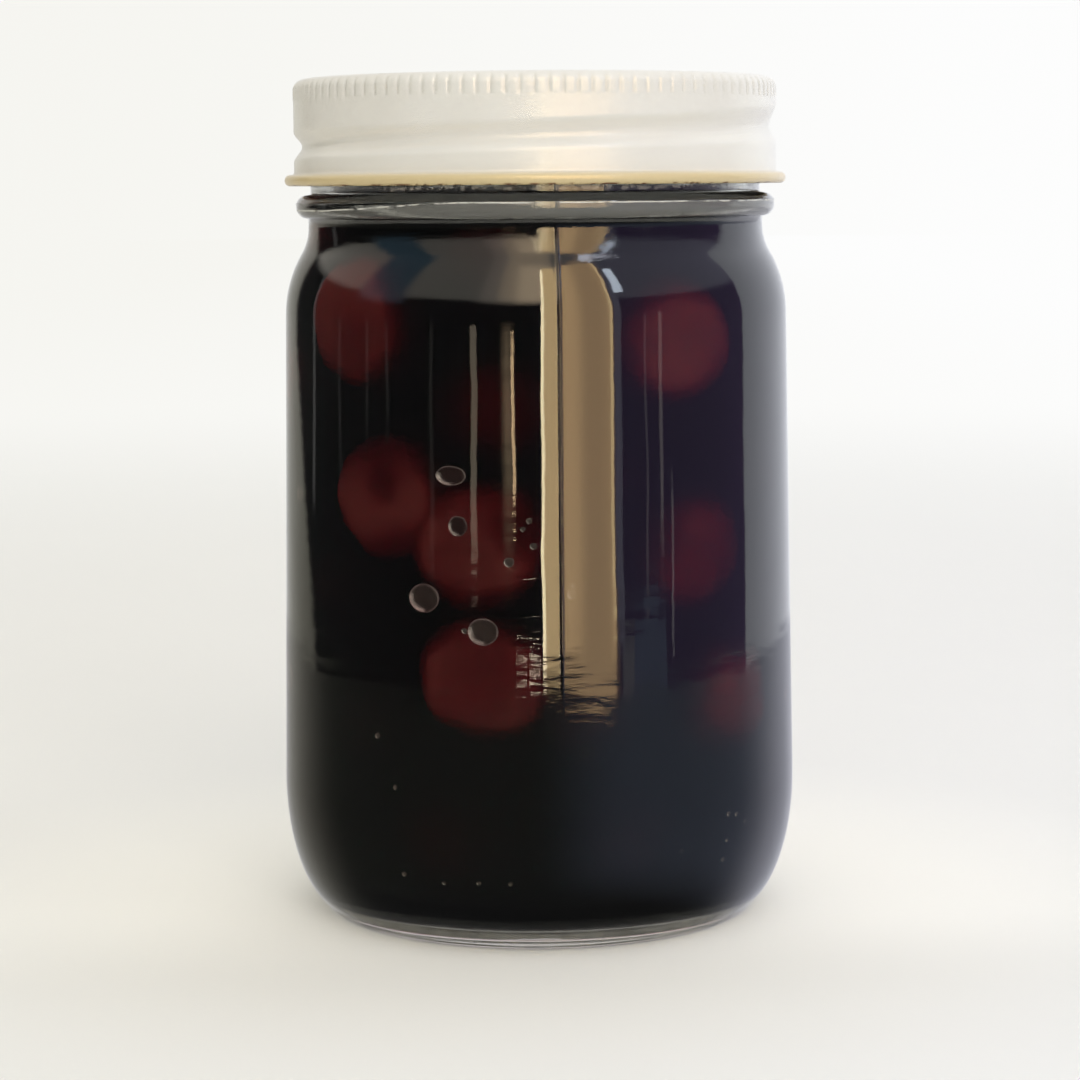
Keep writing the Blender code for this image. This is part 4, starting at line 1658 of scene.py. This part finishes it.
    def world(self) -> None:
        """The room: one look for the camera, one in mirrored light, and an even one elsewhere."""
        world = bpy.data.worlds.new("studio")
        world.use_nodes = True
        bpy.context.scene.world = world
        graph = Graph(world.node_tree)
        graph.tree.nodes.clear()
        where = graph.add("ShaderNodeTexCoord").outputs["Generated"]
        axes = graph.add("ShaderNodeSeparateXYZ", {0: where}).outputs
        toward = graph.math("MULTIPLY", axes[1], -1.0)
        turn = graph.math("ARCTAN2", axes[0], toward)
        azimuth = graph.math("DEGREES", turn)
        elevation = graph.math("DEGREES", graph.math("ARCSINE", axes[2]))
        right = graph.ramp(azimuth, *self.turns_right)
        side = graph.ramp(axes[0], *self.right_side)

        dark = graph.mix(right, rgba(self.dark_left), rgba(self.dark_right))
        ceiling = graph.mix(right, rgba(self.ceiling_left), rgba(self.ceiling_right))
        table = graph.mix(right, rgba(self.table_left), rgba(self.table_right))
        far = graph.mix(side, rgba(self.table_far_left), rgba(self.table_far_right))
        for start, end in self.table_turns:
            table = graph.mix(graph.ramp(azimuth, start, end), table, far)
        near = graph.ramp(elevation, *self.table_nears)
        table = graph.mix(near, table, rgba(self.table_near))
        above = graph.ramp(elevation, self.ceiling_from, self.ceiling_from + 5.0)
        below = graph.ramp(elevation, self.table_from, self.table_from - 0.5)
        room = graph.mix(above, dark, ceiling)
        for pane in self.panes:
            room = graph.mix(self.pane_mask(graph, pane, azimuth, elevation), room, rgba(pane.light))
        sweep = graph.mix(side, rgba(self.sweep_left), rgba(self.sweep_right))
        low = graph.math("MAXIMUM", graph.math("SUBTRACT", self.sweep_level, elevation), 0.0)
        slanted = graph.math("ADD", azimuth, graph.math("MULTIPLY", low, -self.sweep_slant))
        for turn, edge, step in zip((slanted, azimuth), self.sweep_from, self.sweep_soft):
            room = graph.mix(graph.ramp(turn, edge, edge + step), room, sweep)
        room = graph.mix(below, room, table)

        ambient = graph.mix(side, rgba(self.ambient_left), rgba(self.ambient_right))
        path = graph.add("ShaderNodeLightPath").outputs
        mirrored = graph.mix(path["Is Glossy Ray"], ambient, room)
        seen = graph.math("MAXIMUM", path["Is Camera Ray"], path["Is Transmission Ray"])
        across = graph.ramp(axes[0], *self.backdrop_across)
        backdrop = graph.mix(across, rgba(self.backdrop_left), rgba(self.backdrop_right))
        colour = graph.mix(seen, mirrored, backdrop)
        background = graph.add("ShaderNodeBackground", {"Color": colour})
        graph.add("ShaderNodeOutputWorld", {"Surface": background.outputs[0]})
        world.cycles.sampling_method = "MANUAL"
        world.cycles.sample_map_resolution = 256

    def pane_mask(self, graph: Graph, pane: Pane, azimuth, elevation) -> bpy.types.NodeSocket:
        """1 inside a pane and 0 outside it.

        Args:
            graph: The world's graph.
            pane: The pane.
            azimuth: The socket that gives the direction's azimuth.
            elevation: The socket that gives its elevation.

        Returns:
            The mask.
        """
        mask = None
        for value, (low, high) in ((azimuth, pane.azimuth), (elevation, pane.elevation)):
            start = graph.ramp(value, low - pane.soft / 2, low + pane.soft / 2)
            end = graph.ramp(value, high + pane.soft / 2, high - pane.soft / 2)
            both = graph.math("MULTIPLY", start, end)
            mask = both if mask is None else graph.math("MULTIPLY", mask, both)
        return mask

    def floor(self, finish: bpy.types.Material) -> None:
        """The surface that the jar stands on, which the jar doesn't mirror."""
        columns, rings = 64, (0.05, 0.15, 0.4, 1.0, 2.5, self.floor_radius)
        turns = np.arange(columns) * 2 * math.pi / columns
        points = [(0.0, 0.0, 0.0)]
        points += [(r * math.sin(a), -r * math.cos(a), 0.0) for r in rings for a in turns]
        following = [(j + 1) % columns for j in range(columns)]
        faces = [(0, 1 + j, 1 + following[j]) for j in range(columns)]
        for i in range(len(rings) - 1):
            here, out = 1 + i * columns, 1 + (i + 1) * columns
            faces += [
                (here + j, out + j, out + following[j], here + following[j])
                for j in range(columns)
            ]
        mesh = bpy.data.meshes.new("floor")
        mesh.from_pydata(points, [], faces)
        mesh.materials.append(finish)
        floor = bpy.data.objects.new("floor", mesh)
        floor.visible_glossy = False
        bpy.context.scene.collection.objects.link(floor)

    def camera(self) -> None:
        """The camera, level with the lid and tilted down a little."""
        data = bpy.data.cameras.new("camera")
        data.lens = self.lens
        camera = bpy.data.objects.new("camera", data)
        pitch, roll = math.radians(90 - self.pitch_deg), math.radians(self.roll_deg)
        tilt = Matrix.Rotation(pitch, 4, "X") @ Matrix.Rotation(-roll, 4, "Z")
        camera.matrix_world = Matrix.Translation(self.camera_at) @ tilt
        bpy.context.scene.collection.objects.link(camera)
        bpy.context.scene.camera = camera

    def build(self, finish: bpy.types.Material) -> None:
        """Makes the whole studio.

        Args:
            finish: The floor's material.
        """
        self.world()
        self.floor(finish)
        for lamp in self.lamps:
            lamp.build()
        self.camera()
        scene = bpy.context.scene
        scene.view_settings.view_transform = "Standard"
        # Few lamps and a plain room, which take less time without these
        scene.cycles.use_light_tree = False
        scene.cycles.max_bounces = 10
        scene.cycles.diffuse_bounces = 3
        # The guide passes would draw the outlines of what the dark syrup hides
        scene.cycles.denoising_input_passes = "RGB"


def main() -> None:
    """Builds the studio, then the lid, the glass and what it holds."""
    logging.basicConfig(level=logging.INFO)
    finishes = Finishes()
    shape = JarShape()
    thread = Thread()
    lid = ScrewLid(thread)
    syrup_top = 108.7 * MM
    jar = GlassJar(shape, thread, syrup_top)

    Studio().build(FloorFinish().make(finishes))
    enamel = EnamelFinish(lid.curl_z + 1.3 * MM, lid.curl_z - lid.curl).make(finishes)
    lid.build(enamel)
    clear = GlassFinish("clear_glass", 1.5).make(finishes)
    wetted = GlassFinish("wetted_glass", 1.11).make(finishes)
    jar.build(clear, wetted)
    syrup = SyrupFinish("dark_syrup", 1.0).make(finishes)
    surface = SyrupFinish("syrup_surface", 1.35).make(finishes)
    Syrup(shape, jar, syrup_top).build(syrup, surface)
    CherryHeap(shape).build(CherryFinish().make(finishes))
    Bubbles(shape, syrup_top).build(BubbleFinish().make(finishes))


if __name__ == "__main__":
    main()
